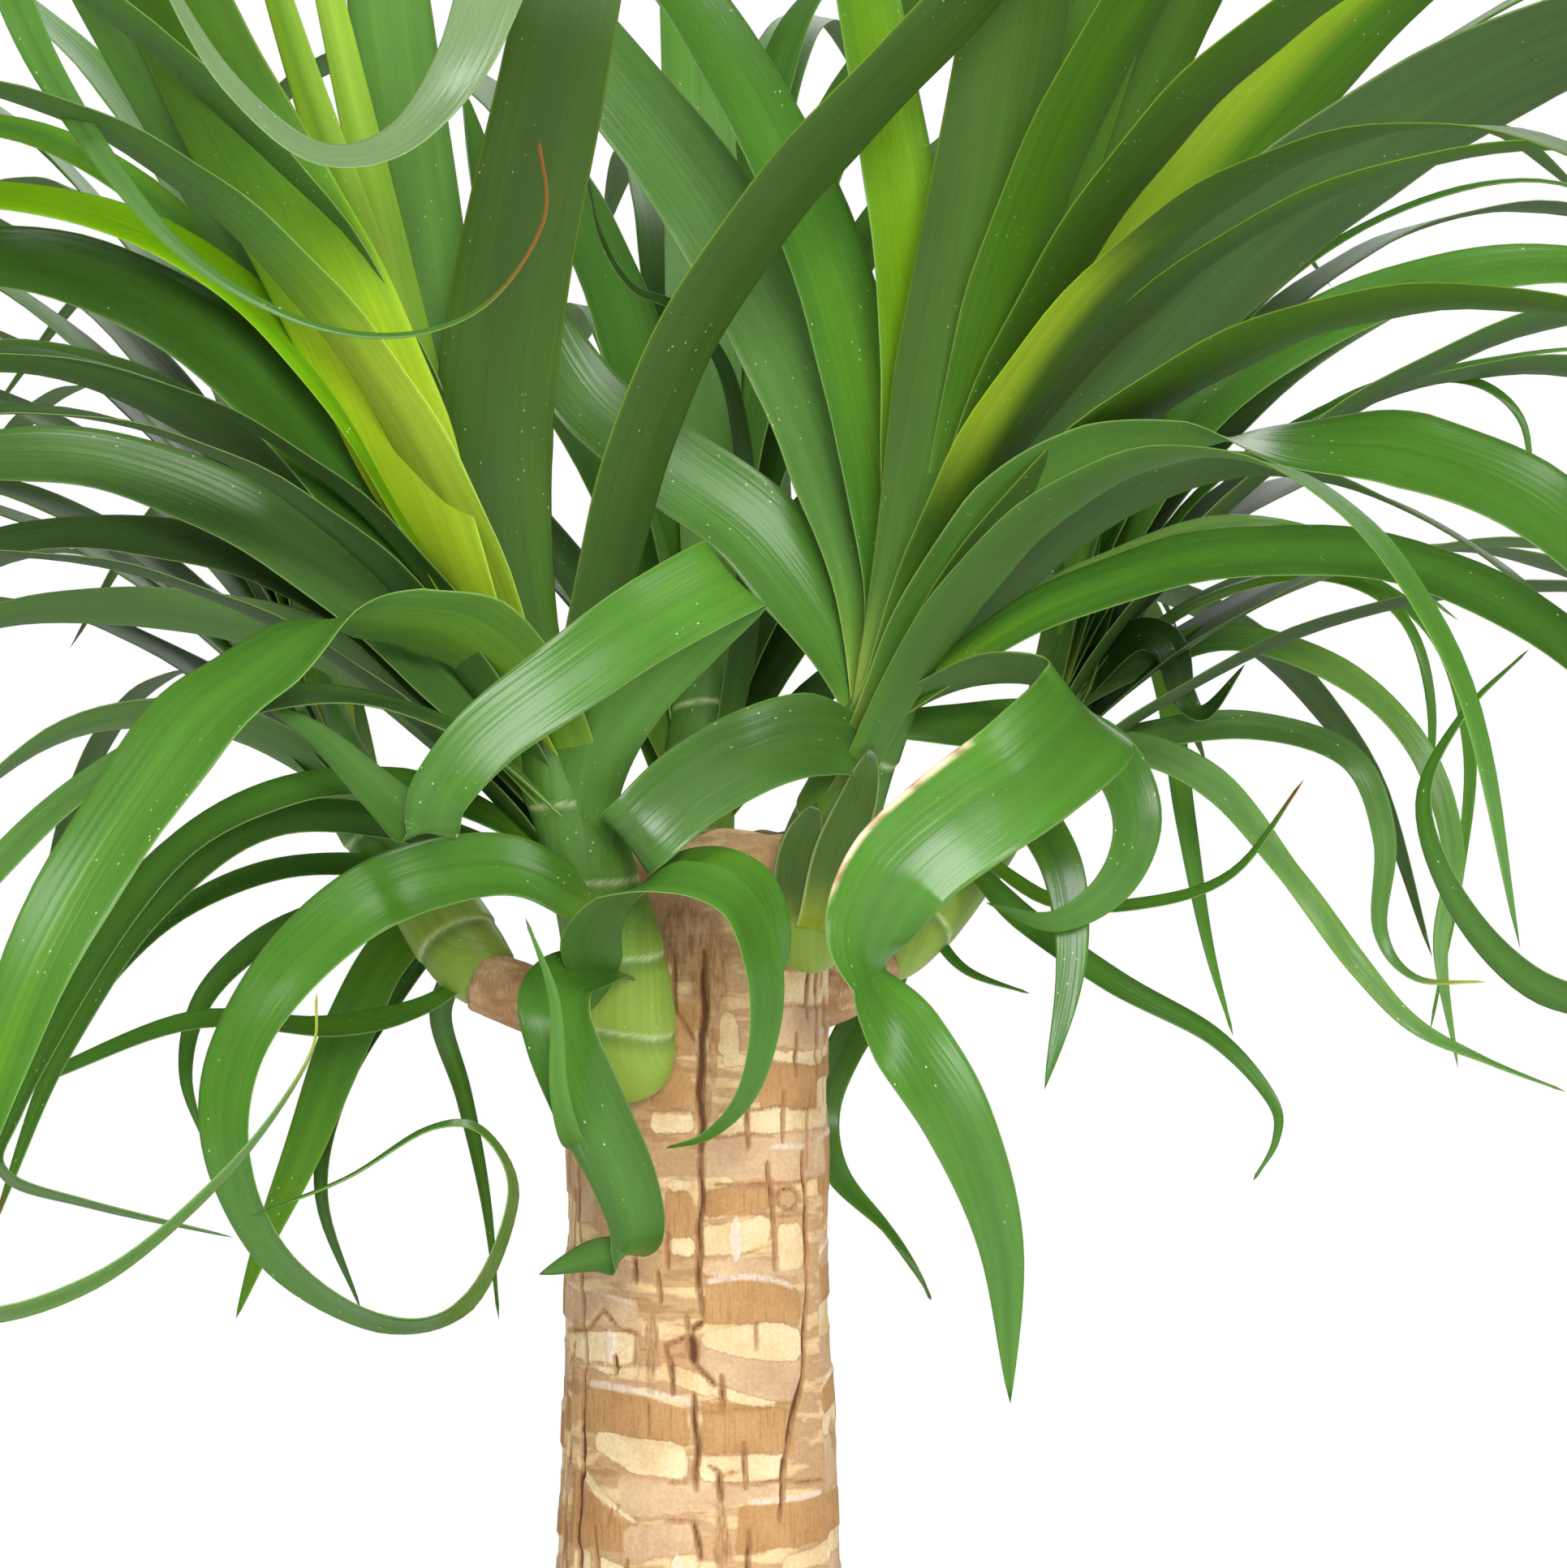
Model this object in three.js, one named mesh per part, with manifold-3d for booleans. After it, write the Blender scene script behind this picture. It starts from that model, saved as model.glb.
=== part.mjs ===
// A potted ponytail palm with five leafy heads on one stout trunk.
// Millimetres, +Z up, the origin under the middle of the pot, -Y towards the front.
import * as THREE from "three";
import { mergeVertices } from "three/addons/utils/BufferGeometryUtils.js";
import Module from "manifold-3d";

const wasm = await Module();
wasm.setup();

const GAP = 0.3; // clearance between neighbouring solids
const SLIVER = 0.03; // edges shorter than this are closed up after leaves are joined

// The pot: a plain tapered clay pot with a rim band.
const POT_HEIGHT = 200;
const POT_FOOT_RADIUS = 77;
const POT_BODY_RADIUS = 109;
const POT_RIM_RADIUS = 118;
const POT_RIM_BAND = 38;
const POT_WALL = 7;
const POT_FLOOR = 9;
const POT_EDGE = 2.5;
const POT_SIDES = 48;
const DRAIN_RADIUS = 4.5;
const DRAIN_RING = 42;
const DRAIN_HOLES = 3;
const DRAIN_SIDES = 12;

// The soil fills the pot to a little under the rim.
const SOIL_TOP = 182;
const SOIL_BUMP = 2.2;
const SOIL_MOUND = 2;
const SOIL_RINGS = 5;

// The trunk: its swollen foot stands in the soil, and ring scars of old leaves cross it.
const TRUNK_SIDES = 24;
const TRUNK_BURIED = 140;
const TRUNK_TOP = 510;
const TRUNK_PROFILE = [
  [TRUNK_BURIED, 60],
  [176, 67],
  [206, 69],
  [236, 62],
  [268, 49],
  [300, 38.5],
  [345, 31],
  [400, 29.2],
  [450, 28.8],
  [TRUNK_TOP, 29.4],
];
const TRUNK_TOP_JAGS = 3.2;
const SCAR_FIRST = 196;
const SCAR_SPACING = 17;
const SCAR_DRIFT = 3.5;
const SCAR_HEIGHT = 2.4;
const SCAR_OUT = 0.7;
const SCAR_IN = 0.5;
const SCAR_WAVE = 1.8;
const SCAR_SWELL = 0.35; // share of a scar's wave that also moves it outwards

// Short woody stubs of the trunk that carry the side shoots: x, y, z, radius.
const STUBS = [
  [[12, 5, 468, 8], [30, 13, 476, 9.5], [39, 19, 482, 8.5]],
  [[-12, 5, 466, 7], [-32, 13, 470, 8], [-48, 19, 476, 7.5]],
];
const STUB_SIDES = 12;
const STEM_SIDES = 10;

// A blade is a shallow channel, thickest along the middle.
const BLADE_THICKNESS = 1.35;
const BLADE_CHANNEL = 0.16;
const BLADE_ROOT = 0.5;
const BLADE_ROOT_LENGTH = 0.22;
const BLADE_FINE_STEPS = 12;
const BLADE_TURN = THREE.MathUtils.degToRad(38);
const BLADE_TURN_SHARE = 0.6; // how much a twist counts beside a bend
const BLADE_STEP = 60;
const BLADE_LAST = 3;
const TIP_THINNING = 0.4;
const TIP_FLATTENING = 0.6;
const TIP_HALF_WIDTH = 0.5;
const TAPER_POWER = 0.85;
const ROOT_DROP = 7.5;
const UP = new THREE.Vector3(0, 0, 1);
const VIEW = new THREE.Vector3(0, 1, 0);

// Each leaf: its name, half width, taper (high keeps its width for longer), then its route from
// root to tip as x, y, z and the turn of the blade about the route in degrees. At turn 0 the upper
// face looks to the front, at 180 the lower face does. A fifth number is the direction of the
// blade's width, seen from the front, where the route itself runs front to back, as in a fold.
const FRONT_LEFT = [
  ["long arch", 12, 2.6, [-25, -55, 512, -150], [-35, -66, 538, -140], [-49, -80, 551, -135],
    [-63, -92, 554, -115], [-75, -101, 553, -80], [-88, -110, 543, -50], [-105, -120, 527, -35],
    [-131, -133, 484, -28], [-148, -138, 432, -38], [-152, -138, 402, -50]],
  ["folded over", 9.8, 3, [-24, -55, 501, 180], [-23, -62, 521, 180], [-16, -66, 538, 180],
    [-3, -70, 552, 180], [8, -79, 563, 0, -45], [-9, -92, 554, 0], [-26, -98, 542, 0],
    [-42, -101, 530, 0], [-52, -101, 518, 0], [-55, -96, 510, 0, 0], [-65, -88, 518, 180],
    [-78, -86, 530, 180], [-93, -86, 539, 180]],
  ["ring", 9.5, 1.2, [-22, -57, 493, -30], [-37, -66, 502, -25], [-54, -74, 501, -20],
    [-70, -80, 494, -20], [-86, -84, 479, -25], [-96, -86, 460, -30], [-96, -86, 440, -36],
    [-86, -82, 420, -50], [-65, -76, 407, -60], [-48, -74, 411, -64], [-38, -76, 433, -70],
    [-44, -81, 447, -76], [-55, -85, 448, -80], [-72, -89, 438, -80], [-92, -90, 430, -70]],
  ["hanging front", 8.3, 4, [-19, -52, 481, -40], [-28, -66, 477, -30], [-28, -74, 468, -20],
    [-22, -76, 453, -8], [-15, -75, 438, 0], [-12, -72, 427, 0], [-14, -67, 421, 0, 15],
    [-22, -63, 420, 180], [-33, -60, 416, 180]],
  ["upturned", 3.6, 1.6, [-16, -46, 460, 0], [-21, -62, 446, 0], [-25, -75, 444, 0, 0],
    [-28, -83, 456, 180], [-29, -84, 475, 180], [-35, -83, 492, 180]],
  ["hoop", 7.8, 2, [-19, -52, 477, 150], [-21, -66, 488, 145], [-15, -78, 496, 110],
    [-4, -86, 500, 60], [8, -87, 496, 45], [14, -84, 484, 38], [15, -79, 470, 36],
    [11, -73, 455, 38], [3, -68, 446, 40], [-6, -64, 443, 40]],
  ["behind hoop", 6.5, 2, [-15, -56, 493, 90], [-4, -65, 502, 65], [7, -67, 503, 52],
    [15, -66, 497, 42], [18, -62, 484, 35], [13, -57, 470, 40]],
  ["crossing", 8.5, 3.5, [-25, -54, 500, 150], [-25, -57, 530, 148], [-16, -66, 572, 142],
    [-4, -77, 607, 140], [18, -86, 641, 140], [50, -94, 675, 140], [84, -104, 708, 135],
    [120, -116, 726, 120], [165, -128, 716, 105], [198, -136, 680, 95], [212, -140, 640, 90]],
  ["tall u curl", 13, 3.2, [-29, -58, 521, 170], [-38, -65, 552, 170], [-42, -72, 590, 175],
    [-38, -82, 625, 180], [-29, -97, 665, 180], [-23, -116, 695, 180], [-27, -133, 704, 0, 0],
    [-36, -146, 688, 0], [-45, -150, 664, -20], [-58, -150, 648, -45], [-75, -148, 646, -55],
    [-92, -145, 660, -54], [-105, -141, 681, -50], [-112, -136, 700, -50]],
  ["heart", 11.5, 2.8, [-35, -61, 533, -100], [-48, -69, 559, -125], [-59, -74, 584, -150],
    [-76, -78, 622, -160], [-98, -82, 662, -162], [-117, -88, 698, -156], [-142, -96, 728, -140],
    [-172, -106, 736, -120], [-198, -116, 712, -100], [-210, -122, 676, -90]],
  ["pale inner", 6, 2, [-37, -57, 535, -170], [-51, -60, 566, -170], [-66, -63, 620, -170],
    [-82, -70, 668, -170], [-96, -76, 712, -165], [-108, -84, 738, -160]],
  ["bright inner", 7, 2, [-36, -55, 535, 170], [-48, -58, 562, 172], [-60, -60, 612, 175],
    [-72, -63, 664, 174], [-84, -68, 716, 170], [-94, -76, 752, 165]],
  ["upright inner", 10, 2.6, [-33, -53, 531, 176], [-44, -54, 559, 178], [-54, -55, 606, 178],
    [-61, -57, 656, 178], [-68, -61, 706, 175], [-80, -70, 756, 165], [-100, -84, 790, 150],
    [-130, -98, 806, 130], [-160, -110, 790, 110]],
  ["thin curl", 9.5, 1.25, [-35, -52, 531, -150], [-58, -53, 572, -150], [-84, -57, 613, -150],
    [-108, -68, 654, -155], [-126, -84, 687, -165], [-135, -102, 704, 180],
    [-140, -121, 705, 0, 33], [-139, -138, 689, 0], [-128, -147, 662, 7], [-105, -152, 630, 25],
    [-82, -153, 614, 37], [-60, -153, 609, 42], [-41, -151, 615, 45], [-29, -150, 632, 45],
    [-30, -148, 649, 45]],
  ["west bright", 6.6, 2, [-36, -56, 530, -60], [-51, -63, 560, -55], [-72, -70, 597, -48],
    [-96, -71, 624, -42], [-124, -74, 639, -40], [-156, -81, 642, -46], [-184, -96, 627, -50],
    [-196, -110, 592, -45], [-200, -116, 560, -40]],
  ["west dark", 10.5, 2.6, [-33, -54, 526, -40], [-50, -57, 556, -35], [-72, -59, 583, -31],
    [-100, -61, 612, -30], [-131, -64, 628, -32], [-164, -76, 628, -40], [-194, -95, 606, -40],
    [-210, -110, 566, -36], [-216, -118, 524, -34]],
  ["west top", 7, 2, [-38, -50, 534, -50], [-58, -49, 566, -45], [-84, -48, 608, -41],
    [-118, -47, 646, -41], [-152, -53, 660, -46], [-184, -69, 648, -50], [-200, -82, 616, -45]],
  ["west dull", 8, 2.2, [-31, -50, 521, -140], [-51, -48, 545, -138], [-82, -46, 578, -136],
    [-114, -44, 602, -136], [-148, -48, 611, -130], [-180, -68, 600, -108], [-198, -84, 568, -88]],
  ["west mid", 9.5, 2.6, [-30, -55, 517, -45], [-51, -59, 540, -40], [-76, -61, 564, -36],
    [-109, -61, 583, -35], [-142, -65, 589, -40], [-176, -83, 579, -44], [-198, -102, 546, -38],
    [-206, -112, 506, -34]],
  ["west low", 8, 2.2, [-29, -50, 512, -50], [-50, -48, 535, -46], [-80, -45, 561, -45],
    [-114, -44, 572, -46], [-148, -52, 571, -50], [-178, -70, 554, -46], [-192, -82, 520, -42]],
  ["west under", 8.5, 2.2, [-27, -48, 507, -130], [-48, -42, 526, -132], [-80, -34, 549, -134],
    [-114, -30, 557, -132], [-148, -37, 556, -118], [-176, -54, 541, -95], [-190, -66, 512, -80]],
  ["low return", 7.5, 1.5, [-27, -50, 500, -70], [-41, -52, 511, -65], [-62, -54, 519, -60],
    [-86, -57, 518, -59], [-110, -62, 505, -52], [-128, -68, 480, -47], [-143, -73, 450, -50],
    [-144, -76, 438, -60], [-126, -78, 432, -60], [-96, -79, 425, -60]],
  ["low second", 7, 2, [-26, -45, 498, -60], [-43, -41, 504, -58], [-66, -36, 511, -56],
    [-92, -36, 511, -53], [-116, -41, 493, -48], [-136, -47, 461, -43], [-150, -52, 424, -42]],
  ["swoop", 7, 1.4, [-29, -57, 514, -80], [-50, -72, 531, -75], [-77, -86, 538, -70],
    [-104, -99, 531, -62], [-135, -113, 510, -52], [-160, -127, 474, -44], [-166, -136, 434, -44],
    [-148, -140, 414, -48], [-120, -140, 420, -50], [-94, -140, 441, -54], [-77, -138, 464, -64],
    [-75, -138, 478, -70]],
];
const FRONT_RIGHT = [
  ["folded forward", 14, 2.4, [36, -38, 523, 110], [44, -42, 535, 105], [57, -48, 541, 100],
    [71, -56, 542, 98], [82, -70, 535, 60, -50], [70, -88, 523, 0], [56, -94, 513, 0],
    [43, -96, 502, 0], [36, -95, 490, 30], [36, -94, 479, 66], [44, -93, 467, 26],
    [55, -92, 450, 6], [64, -90, 424, 0], [66, -88, 391, 0]],
  ["left folded", 9.4, 4, [36, -40, 526, -30], [26, -52, 530, -20], [13, -64, 527, -10],
    [-1, -70, 519, -5], [-11, -73, 510, 0], [-14, -69, 508, 0, -51], [-8, -63, 515, 180],
    [0, -58, 525, 180], [9, -54, 532, 180], [17, -51, 536, 180]],
  ["glossy", 11.5, 2.6, [37, -30, 535, -40], [30, -24, 551, -30], [14, -15, 574, -24],
    [-8, -6, 591, -22], [-27, 3, 608, -27], [-43, 14, 640, -30], [-53, 24, 676, -30]],
  ["wide left", 13, 2.8, [39, -28, 538, -30], [38, -20, 563, -26], [27, -10, 600, -23],
    [6, 2, 641, -22], [-20, 13, 677, -24], [-46, 28, 706, -34], [-76, 44, 716, -44],
    [-104, 58, 700, -50]],
  ["arched left", 10, 2.6, [40, -30, 540, -30], [42, -26, 567, -26], [35, -20, 610, -24],
    [20, -13, 654, -24], [-6, -3, 698, -26], [-32, 10, 722, -36], [-60, 26, 726, -44],
    [-84, 40, 706, -48]],
  ["bright side", 9, 2.6, [42, -32, 542, -30], [46, -32, 572, -25], [47, -34, 620, -20],
    [40, -38, 670, -20], [30, -45, 716, -25], [12, -54, 752, -35], [-14, -62, 764, -50],
    [-40, -66, 748, -60]],
  ["tall front", 12.5, 3, [41, -38, 540, 165], [47, -42, 566, 168], [56, -48, 614, 171],
    [66, -56, 668, 172], [74, -66, 716, 170], [86, -82, 758, 160], [108, -100, 784, 140],
    [140, -116, 780, 115], [166, -128, 752, 100]],
  ["tall second", 10.5, 2.8, [43, -36, 544, 158], [55, -38, 578, 162], [72, -42, 635, 165],
    [90, -48, 690, 164], [108, -58, 736, 158], [134, -72, 768, 140], [166, -84, 768, 120],
    [192, -94, 742, 104]],
  ["tall dark", 8, 2.4, [46, -34, 547, 150], [60, -35, 582, 156], [86, -37, 648, 158],
    [114, -42, 704, 156], [140, -52, 742, 146], [172, -64, 756, 128], [202, -76, 734, 110]],
  ["heart", 8.5, 2.4, [44, -32, 544, 120], [61, -31, 575, 140], [84, -31, 618, 156],
    [112, -33, 657, 158], [144, -39, 692, 153], [178, -52, 714, 138], [210, -68, 708, 118],
    [232, -80, 680, 100]],
  ["east wide", 13, 3, [42, -39, 540, 140], [57, -41, 563, 145], [84, -44, 598, 149],
    [118, -47, 635, 150], [158, -52, 664, 147], [200, -61, 680, 135], [238, -76, 668, 112],
    [262, -90, 628, 95], [270, -98, 590, 88]],
  ["twisted east", 12.5, 3, [40, -42, 535, 130], [51, -51, 556, 132], [68, -61, 577, 134],
    [88, -71, 589, 124], [107, -79, 592, 98], [126, -87, 590, 60], [149, -94, 588, 36],
    [175, -101, 577, 30], [198, -107, 551, 31], [211, -110, 520, 36], [216, -112, 488, 40]],
  ["east return", 9, 1.9, [38, -40, 531, 60], [54, -46, 544, 56], [80, -53, 559, 51],
    [114, -61, 568, 48], [150, -67, 566, 46], [182, -74, 550, 42], [205, -78, 524, 40],
    [210, -80, 496, 40], [198, -83, 477, 38], [178, -85, 477, 38], [160, -88, 494, 38],
    [152, -88, 516, 50], [160, -88, 534, 60], [174, -87, 548, 60]],
  ["east dull", 8, 2.2, [40, -34, 535, 125], [56, -34, 552, 126], [84, -32, 576, 128],
    [114, -32, 588, 118], [146, -34, 582, 88], [178, -39, 562, 72], [204, -48, 528, 70]],
  ["east pale", 6, 2, [42, -28, 537, 70], [60, -24, 551, 66], [88, -15, 567, 61],
    [118, -5, 577, 60], [146, 2, 571, 58], [168, 6, 556, 55]],
  ["right loop", 7.5, 2.6, [38, -30, 531, 60], [57, -24, 532, 50], [76, -18, 532, 40],
    [90, -13, 526, 20], [96, -12, 512, 6], [91, -12, 498, 8], [78, -11, 490, 25],
    [63, -10, 494, 38]],
  ["tall sheath", 5.2, 6, [27, -38, 490, 0], [30, -43, 504, 0], [35, -47, 517, 0],
    [38, -48, 528, 0]],
  ["short sheath", 5, 6, [22, -34, 491, 10], [22, -41, 504, 5], [26, -44, 516, 0]],
];
const BACK_LEFT = [
  ["low narrow", 5, 2, [-55, 30, 494, -60], [-72, 30, 501, -58], [-96, 26, 500, -55],
    [-119, 18, 489, -50], [-138, 9, 467, -45], [-150, 2, 440, -44]],
  ["hook", 5, 2, [-59, 32, 490, -60], [-77, 34, 492, -50], [-97, 34, 485, -41],
    [-111, 31, 472, -34], [-115, 29, 455, -30], [-110, 27, 438, -30]],
  ["long narrow", 4, 2, [-49, 22, 479, -60], [-62, 18, 470, -52], [-82, 8, 466, -50],
    [-110, -5, 468, -50], [-140, -13, 457, -48], [-170, -18, 442, -44]],
  ["hanging old", 7.5, 2.4, [-58, 34, 488, -50], [-69, 38, 482, -40], [-78, 38, 466, -30],
    [-88, 35, 440, -28], [-98, 32, 416, -35], [-104, 31, 400, -40]],
  ["hanging thin", 4, 2, [-57, 42, 486, -50], [-68, 50, 474, -44], [-82, 52, 450, -39],
    [-86, 52, 426, -35], [-77, 52, 400, -35]],
  ["far tip", 3, 1.6, [-53, 42, 481, -20], [-59, 50, 468, 0], [-54, 55, 449, 22],
    [-49, 56, 425, 25], [-46, 56, 398, 25]],
  ["dull left", 7, 2.4, [-62, 36, 503, -130], [-83, 40, 522, -130], [-114, 45, 535, -129],
    [-147, 46, 530, -112], [-176, 42, 504, -82], [-188, 38, 474, -72]],
  ["broad low", 8, 2.4, [-55, 26, 494, -110], [-68, 23, 507, -115], [-90, 17, 516, -117],
    [-112, 10, 510, -98], [-134, 0, 490, -72], [-151, -8, 458, -55]],
];
const BACK_RIGHT = [
  ["curly top", 5.5, 1.8, [80, 46, 534, 60], [97, 51, 545, 55], [120, 56, 553, 47],
    [146, 60, 545, 40], [164, 62, 528, 34], [172, 62, 504, 12], [169, 62, 482, 0],
    [173, 62, 455, 20]],
  ["curly mid", 5, 1.7, [78, 40, 526, 60], [98, 44, 530, 48], [124, 48, 533, 38],
    [147, 48, 526, 30], [155, 48, 508, 6], [154, 48, 487, 18], [162, 48, 476, 50],
    [178, 48, 475, 60]],
  ["curly low", 5, 1.5, [76, 36, 525, 50], [96, 34, 528, 38], [115, 31, 520, 24],
    [132, 29, 500, 40], [147, 28, 480, 8], [160, 28, 466, 12], [176, 28, 458, 54],
    [194, 28, 451, 60]],
  ["plumb", 3.5, 2, [86, 56, 545, 60], [98, 61, 555, 50], [106, 66, 544, 20],
    [111, 68, 512, 10], [116, 68, 484, 14], [122, 68, 462, 20]],
  ["low hook", 4, 2, [58, 26, 503, 60], [72, 19, 490, 38], [92, 15, 476, 30],
    [114, 12, 464, 30], [127, 12, 450, 18], [128, 12, 441, 10], [123, 12, 432, 10]],
  ["rising tip", 2.6, 2, [60, 30, 505, 60], [78, 26, 494, 50], [98, 24, 493, 50],
    [119, 22, 500, 48], [135, 22, 521, 45]],
  ["dark hook", 6, 1.6, [86, 52, 541, 50], [98, 48, 553, 40], [106, 44, 551, 10],
    [109, 41, 540, 8], [114, 40, 536, 34], [123, 40, 547, 50]],
  ["pointed front", 5.8, 2.6, [52, 24, 497, 60], [61, 14, 512, 45], [70, 3, 516, 25],
    [79, -2, 504, 8], [82, -4, 489, 4], [81, -6, 474, 4], [76, -8, 453, 4]],
  ["thread one", 2.8, 2, [89, 62, 542, 70], [112, 73, 560, 65], [140, 81, 568, 58],
    [161, 85, 560, 42], [169, 86, 538, 26], [167, 86, 504, 20]],
  ["thread two", 3, 2, [89, 64, 543, 70], [118, 81, 564, 64], [146, 93, 570, 57],
    [170, 99, 556, 38], [179, 100, 530, 18], [177, 100, 500, 10], [170, 100, 462, 20]],
  ["arched up", 8.5, 2.6, [86, 50, 541, 60], [93, 50, 569, 50], [108, 44, 598, 41],
    [134, 38, 620, 37], [170, 33, 634, 36], [206, 29, 634, 38], [236, 25, 614, 43],
    [252, 22, 580, 46]],
  ["thin up", 2.6, 2, [87, 52, 542, 60], [101, 53, 588, 60], [126, 55, 628, 60],
    [160, 57, 651, 61], [196, 60, 657, 64], [228, 64, 638, 60]],
  ["thin level", 2.4, 2, [88, 54, 542, 60], [110, 56, 582, 60], [146, 58, 607, 60],
    [188, 61, 618, 60], [222, 64, 620, 60]],
  ["far curl", 4, 1.8, [89, 66, 543, 60], [119, 84, 585, 55], [150, 97, 609, 49],
    [176, 104, 615, 43], [192, 109, 606, 28], [195, 110, 584, 10]],
  ["behind trunk", 5, 1.6, [43, 30, 477, 0], [33, 38, 461, 0], [28, 40, 446, 2],
    [31, 36, 432, 15], [42, 33, 420, 52], [49, 32, 410, 30], [52, 32, 404, 20]],
  ["wisp", 2, 2, [51, 32, 494, 40], [53, 28, 486, 30], [60, 26, 478, 40], [74, 25, 473, 50]],
];
const BACK = [
  ["dark curl", 4, 1.6, [3, 50, 521, -30], [10, 52, 556, -30], [10, 48, 588, -32],
    [6, 40, 612, -38], [-4, 32, 626, -46], [-15, 28, 631, -50], [-22, 28, 642, -44],
    [-25, 28, 656, -40]],
];

// Each head: its node name, its stem as x, y, z, radius, its leaves, and the rule for the leaves
// that fill its outer side: how many, the sector of directions they leave in and a seed.
const HEADS = [
  {
    name: "head_front_left",
    stem: [[-14, -26, 458, 8], [-15, -35, 464, 10.5], [-17, -42, 482, 10.5], [-23, -50, 504, 9],
      [-32, -55, 528, 7.5], [-42, -58, 550, 5], [-48, -60, 564, 2.5]],
    leaves: FRONT_LEFT,
    fill: { count: 6, from: 190, to: 232, low: 52, high: 74, seed: 21 },
  },
  {
    name: "head_front_right",
    stem: [[22, -18, 484, 7], [25, -25, 490, 9.5], [28, -30, 506, 9.5], [34, -34, 522, 8],
      [42, -35, 540, 6.5], [50, -34, 556, 4.5], [56, -33, 568, 2.5]],
    leaves: FRONT_RIGHT,
    fill: { count: 6, from: 300, to: 340, low: 50, high: 72, seed: 12 },
  },
  {
    name: "head_back_left",
    stem: [[-44, 18, 474, 6], [-52, 24, 482, 9], [-62, 34, 496, 9], [-76, 42, 514, 7.5],
      [-86, 50, 534, 6], [-93, 57, 552, 3.5]],
    leaves: BACK_LEFT,
    fill: { count: 13, from: 112, to: 186, low: 38, high: 78, seed: 13 },
  },
  {
    name: "head_back_right",
    stem: [[36, 17, 480, 6], [45, 24, 486, 8.5], [57, 33, 500, 9], [70, 42, 518, 8],
      [82, 51, 538, 6.5], [92, 60, 560, 3.5]],
    leaves: BACK_RIGHT,
    fill: { count: 12, from: -12, to: 64, low: 40, high: 78, seed: 14 },
  },
  {
    name: "head_back",
    stem: [[-3, 22, 486, 7], [-3, 34, 490, 9.5], [-2, 46, 504, 9], [0, 56, 526, 8],
      [2, 66, 552, 6], [3, 73, 572, 3.5]],
    leaves: BACK,
    fill: { count: 16, from: 40, to: 140, low: 42, high: 80, seed: 15 },
  },
];
const FILL_LENGTH = 330;
const FILL_HALF_WIDTH = 9.5;
const FILL_BEND = 128;
const FILL_BEND_POWER = 1.25;
const FILL_TWIST = 60;
const FILL_SWING = 0.35;
const FILL_TAPER = 2.2;
const FILL_POINTS = 7;
const GOLDEN_TURN = 0.618034;

// A closed geometry as a solid, and back.
function toSolid(geometry) {
  const bare = geometry.clone();
  bare.deleteAttribute("normal");
  bare.deleteAttribute("uv");
  const merged = mergeVertices(bare, 1e-4);
  const mesh = new wasm.Mesh({
    numProp: 3,
    vertProperties: merged.attributes.position.array,
    triVerts: new Uint32Array(merged.index.array),
  });
  return new wasm.Manifold(mesh);
}

function toGeometry(solid) {
  const mesh = solid.getMesh();
  const geometry = new THREE.BufferGeometry();
  geometry.setAttribute("position", new THREE.BufferAttribute(mesh.vertProperties, 3));
  geometry.setIndex(new THREE.BufferAttribute(mesh.triVerts, 1));
  return geometry;
}

// Skins a row of closed rings, each with as many points, and closes both ends on a point. On a thin
// blade both faces are cut along the same diagonals, so that a twist can't push one through the other.
function skin(rings, start, end, thin = false) {
  const sides = rings[0].length;
  const points = [start, ...rings.flat(), end];
  const last = points.length - 1;
  const faces = [];
  const at = (row, side) => 1 + row * sides + (side % sides);
  for (let side = 0; side < sides; side++) {
    faces.push(0, at(0, side + 1), at(0, side));
    const mirrored = thin && side >= sides / 2;
    for (let row = 0; row + 1 < rings.length; row++) {
      const corners = [at(row, side), at(row, side + 1), at(row + 1, side + 1), at(row + 1, side)];
      const [a, b, c, d] = mirrored ? [...corners.slice(1), corners[0]] : corners;
      faces.push(a, b, c, a, c, d);
    }
    faces.push(at(rings.length - 1, side), at(rings.length - 1, side + 1), last);
  }
  const geometry = new THREE.BufferGeometry().setFromPoints(points);
  geometry.setIndex(faces);
  return toSolid(geometry);
}

// A round stem along a route of x, y, z, radius, made fatter all round by "grow".
function tube(route, sides, grow = 0) {
  const centres = route.map(([x, y, z]) => new THREE.Vector3(x, y, z));
  const rings = centres.map((centre, i) => {
    const before = centres[Math.max(i - 1, 0)];
    const after = centres[Math.min(i + 1, centres.length - 1)];
    const along = after.clone().sub(before).normalize();
    const right = new THREE.Vector3().crossVectors(VIEW, along).normalize();
    const front = new THREE.Vector3().crossVectors(along, right);
    const radius = route[i][3] + grow;
    return Array.from({ length: sides }, (_, side) => {
      const angle = (2 * Math.PI * side) / sides;
      const offset = right.clone().multiplyScalar(radius * Math.cos(angle));
      return offset.addScaledVector(front, radius * Math.sin(angle)).add(centre);
    });
  });
  return skin(rings, centres[0], centres.at(-1));
}

function lerpTable(table, at) {
  const index = table.findIndex(([place]) => place >= at);
  if (index === 0) return table[0][1];
  if (index < 0) return table.at(-1)[1];
  const [a, b] = [table[index - 1], table[index]];
  return a[1] + ((b[1] - a[1]) * (at - a[0])) / (b[0] - a[0]);
}

// A gentle wave round the trunk, different at each height.
const wave = (angle, height) => Math.sin(2 * angle + height / 23) + 0.6 * Math.sin(5 * angle - height / 9);

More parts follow.
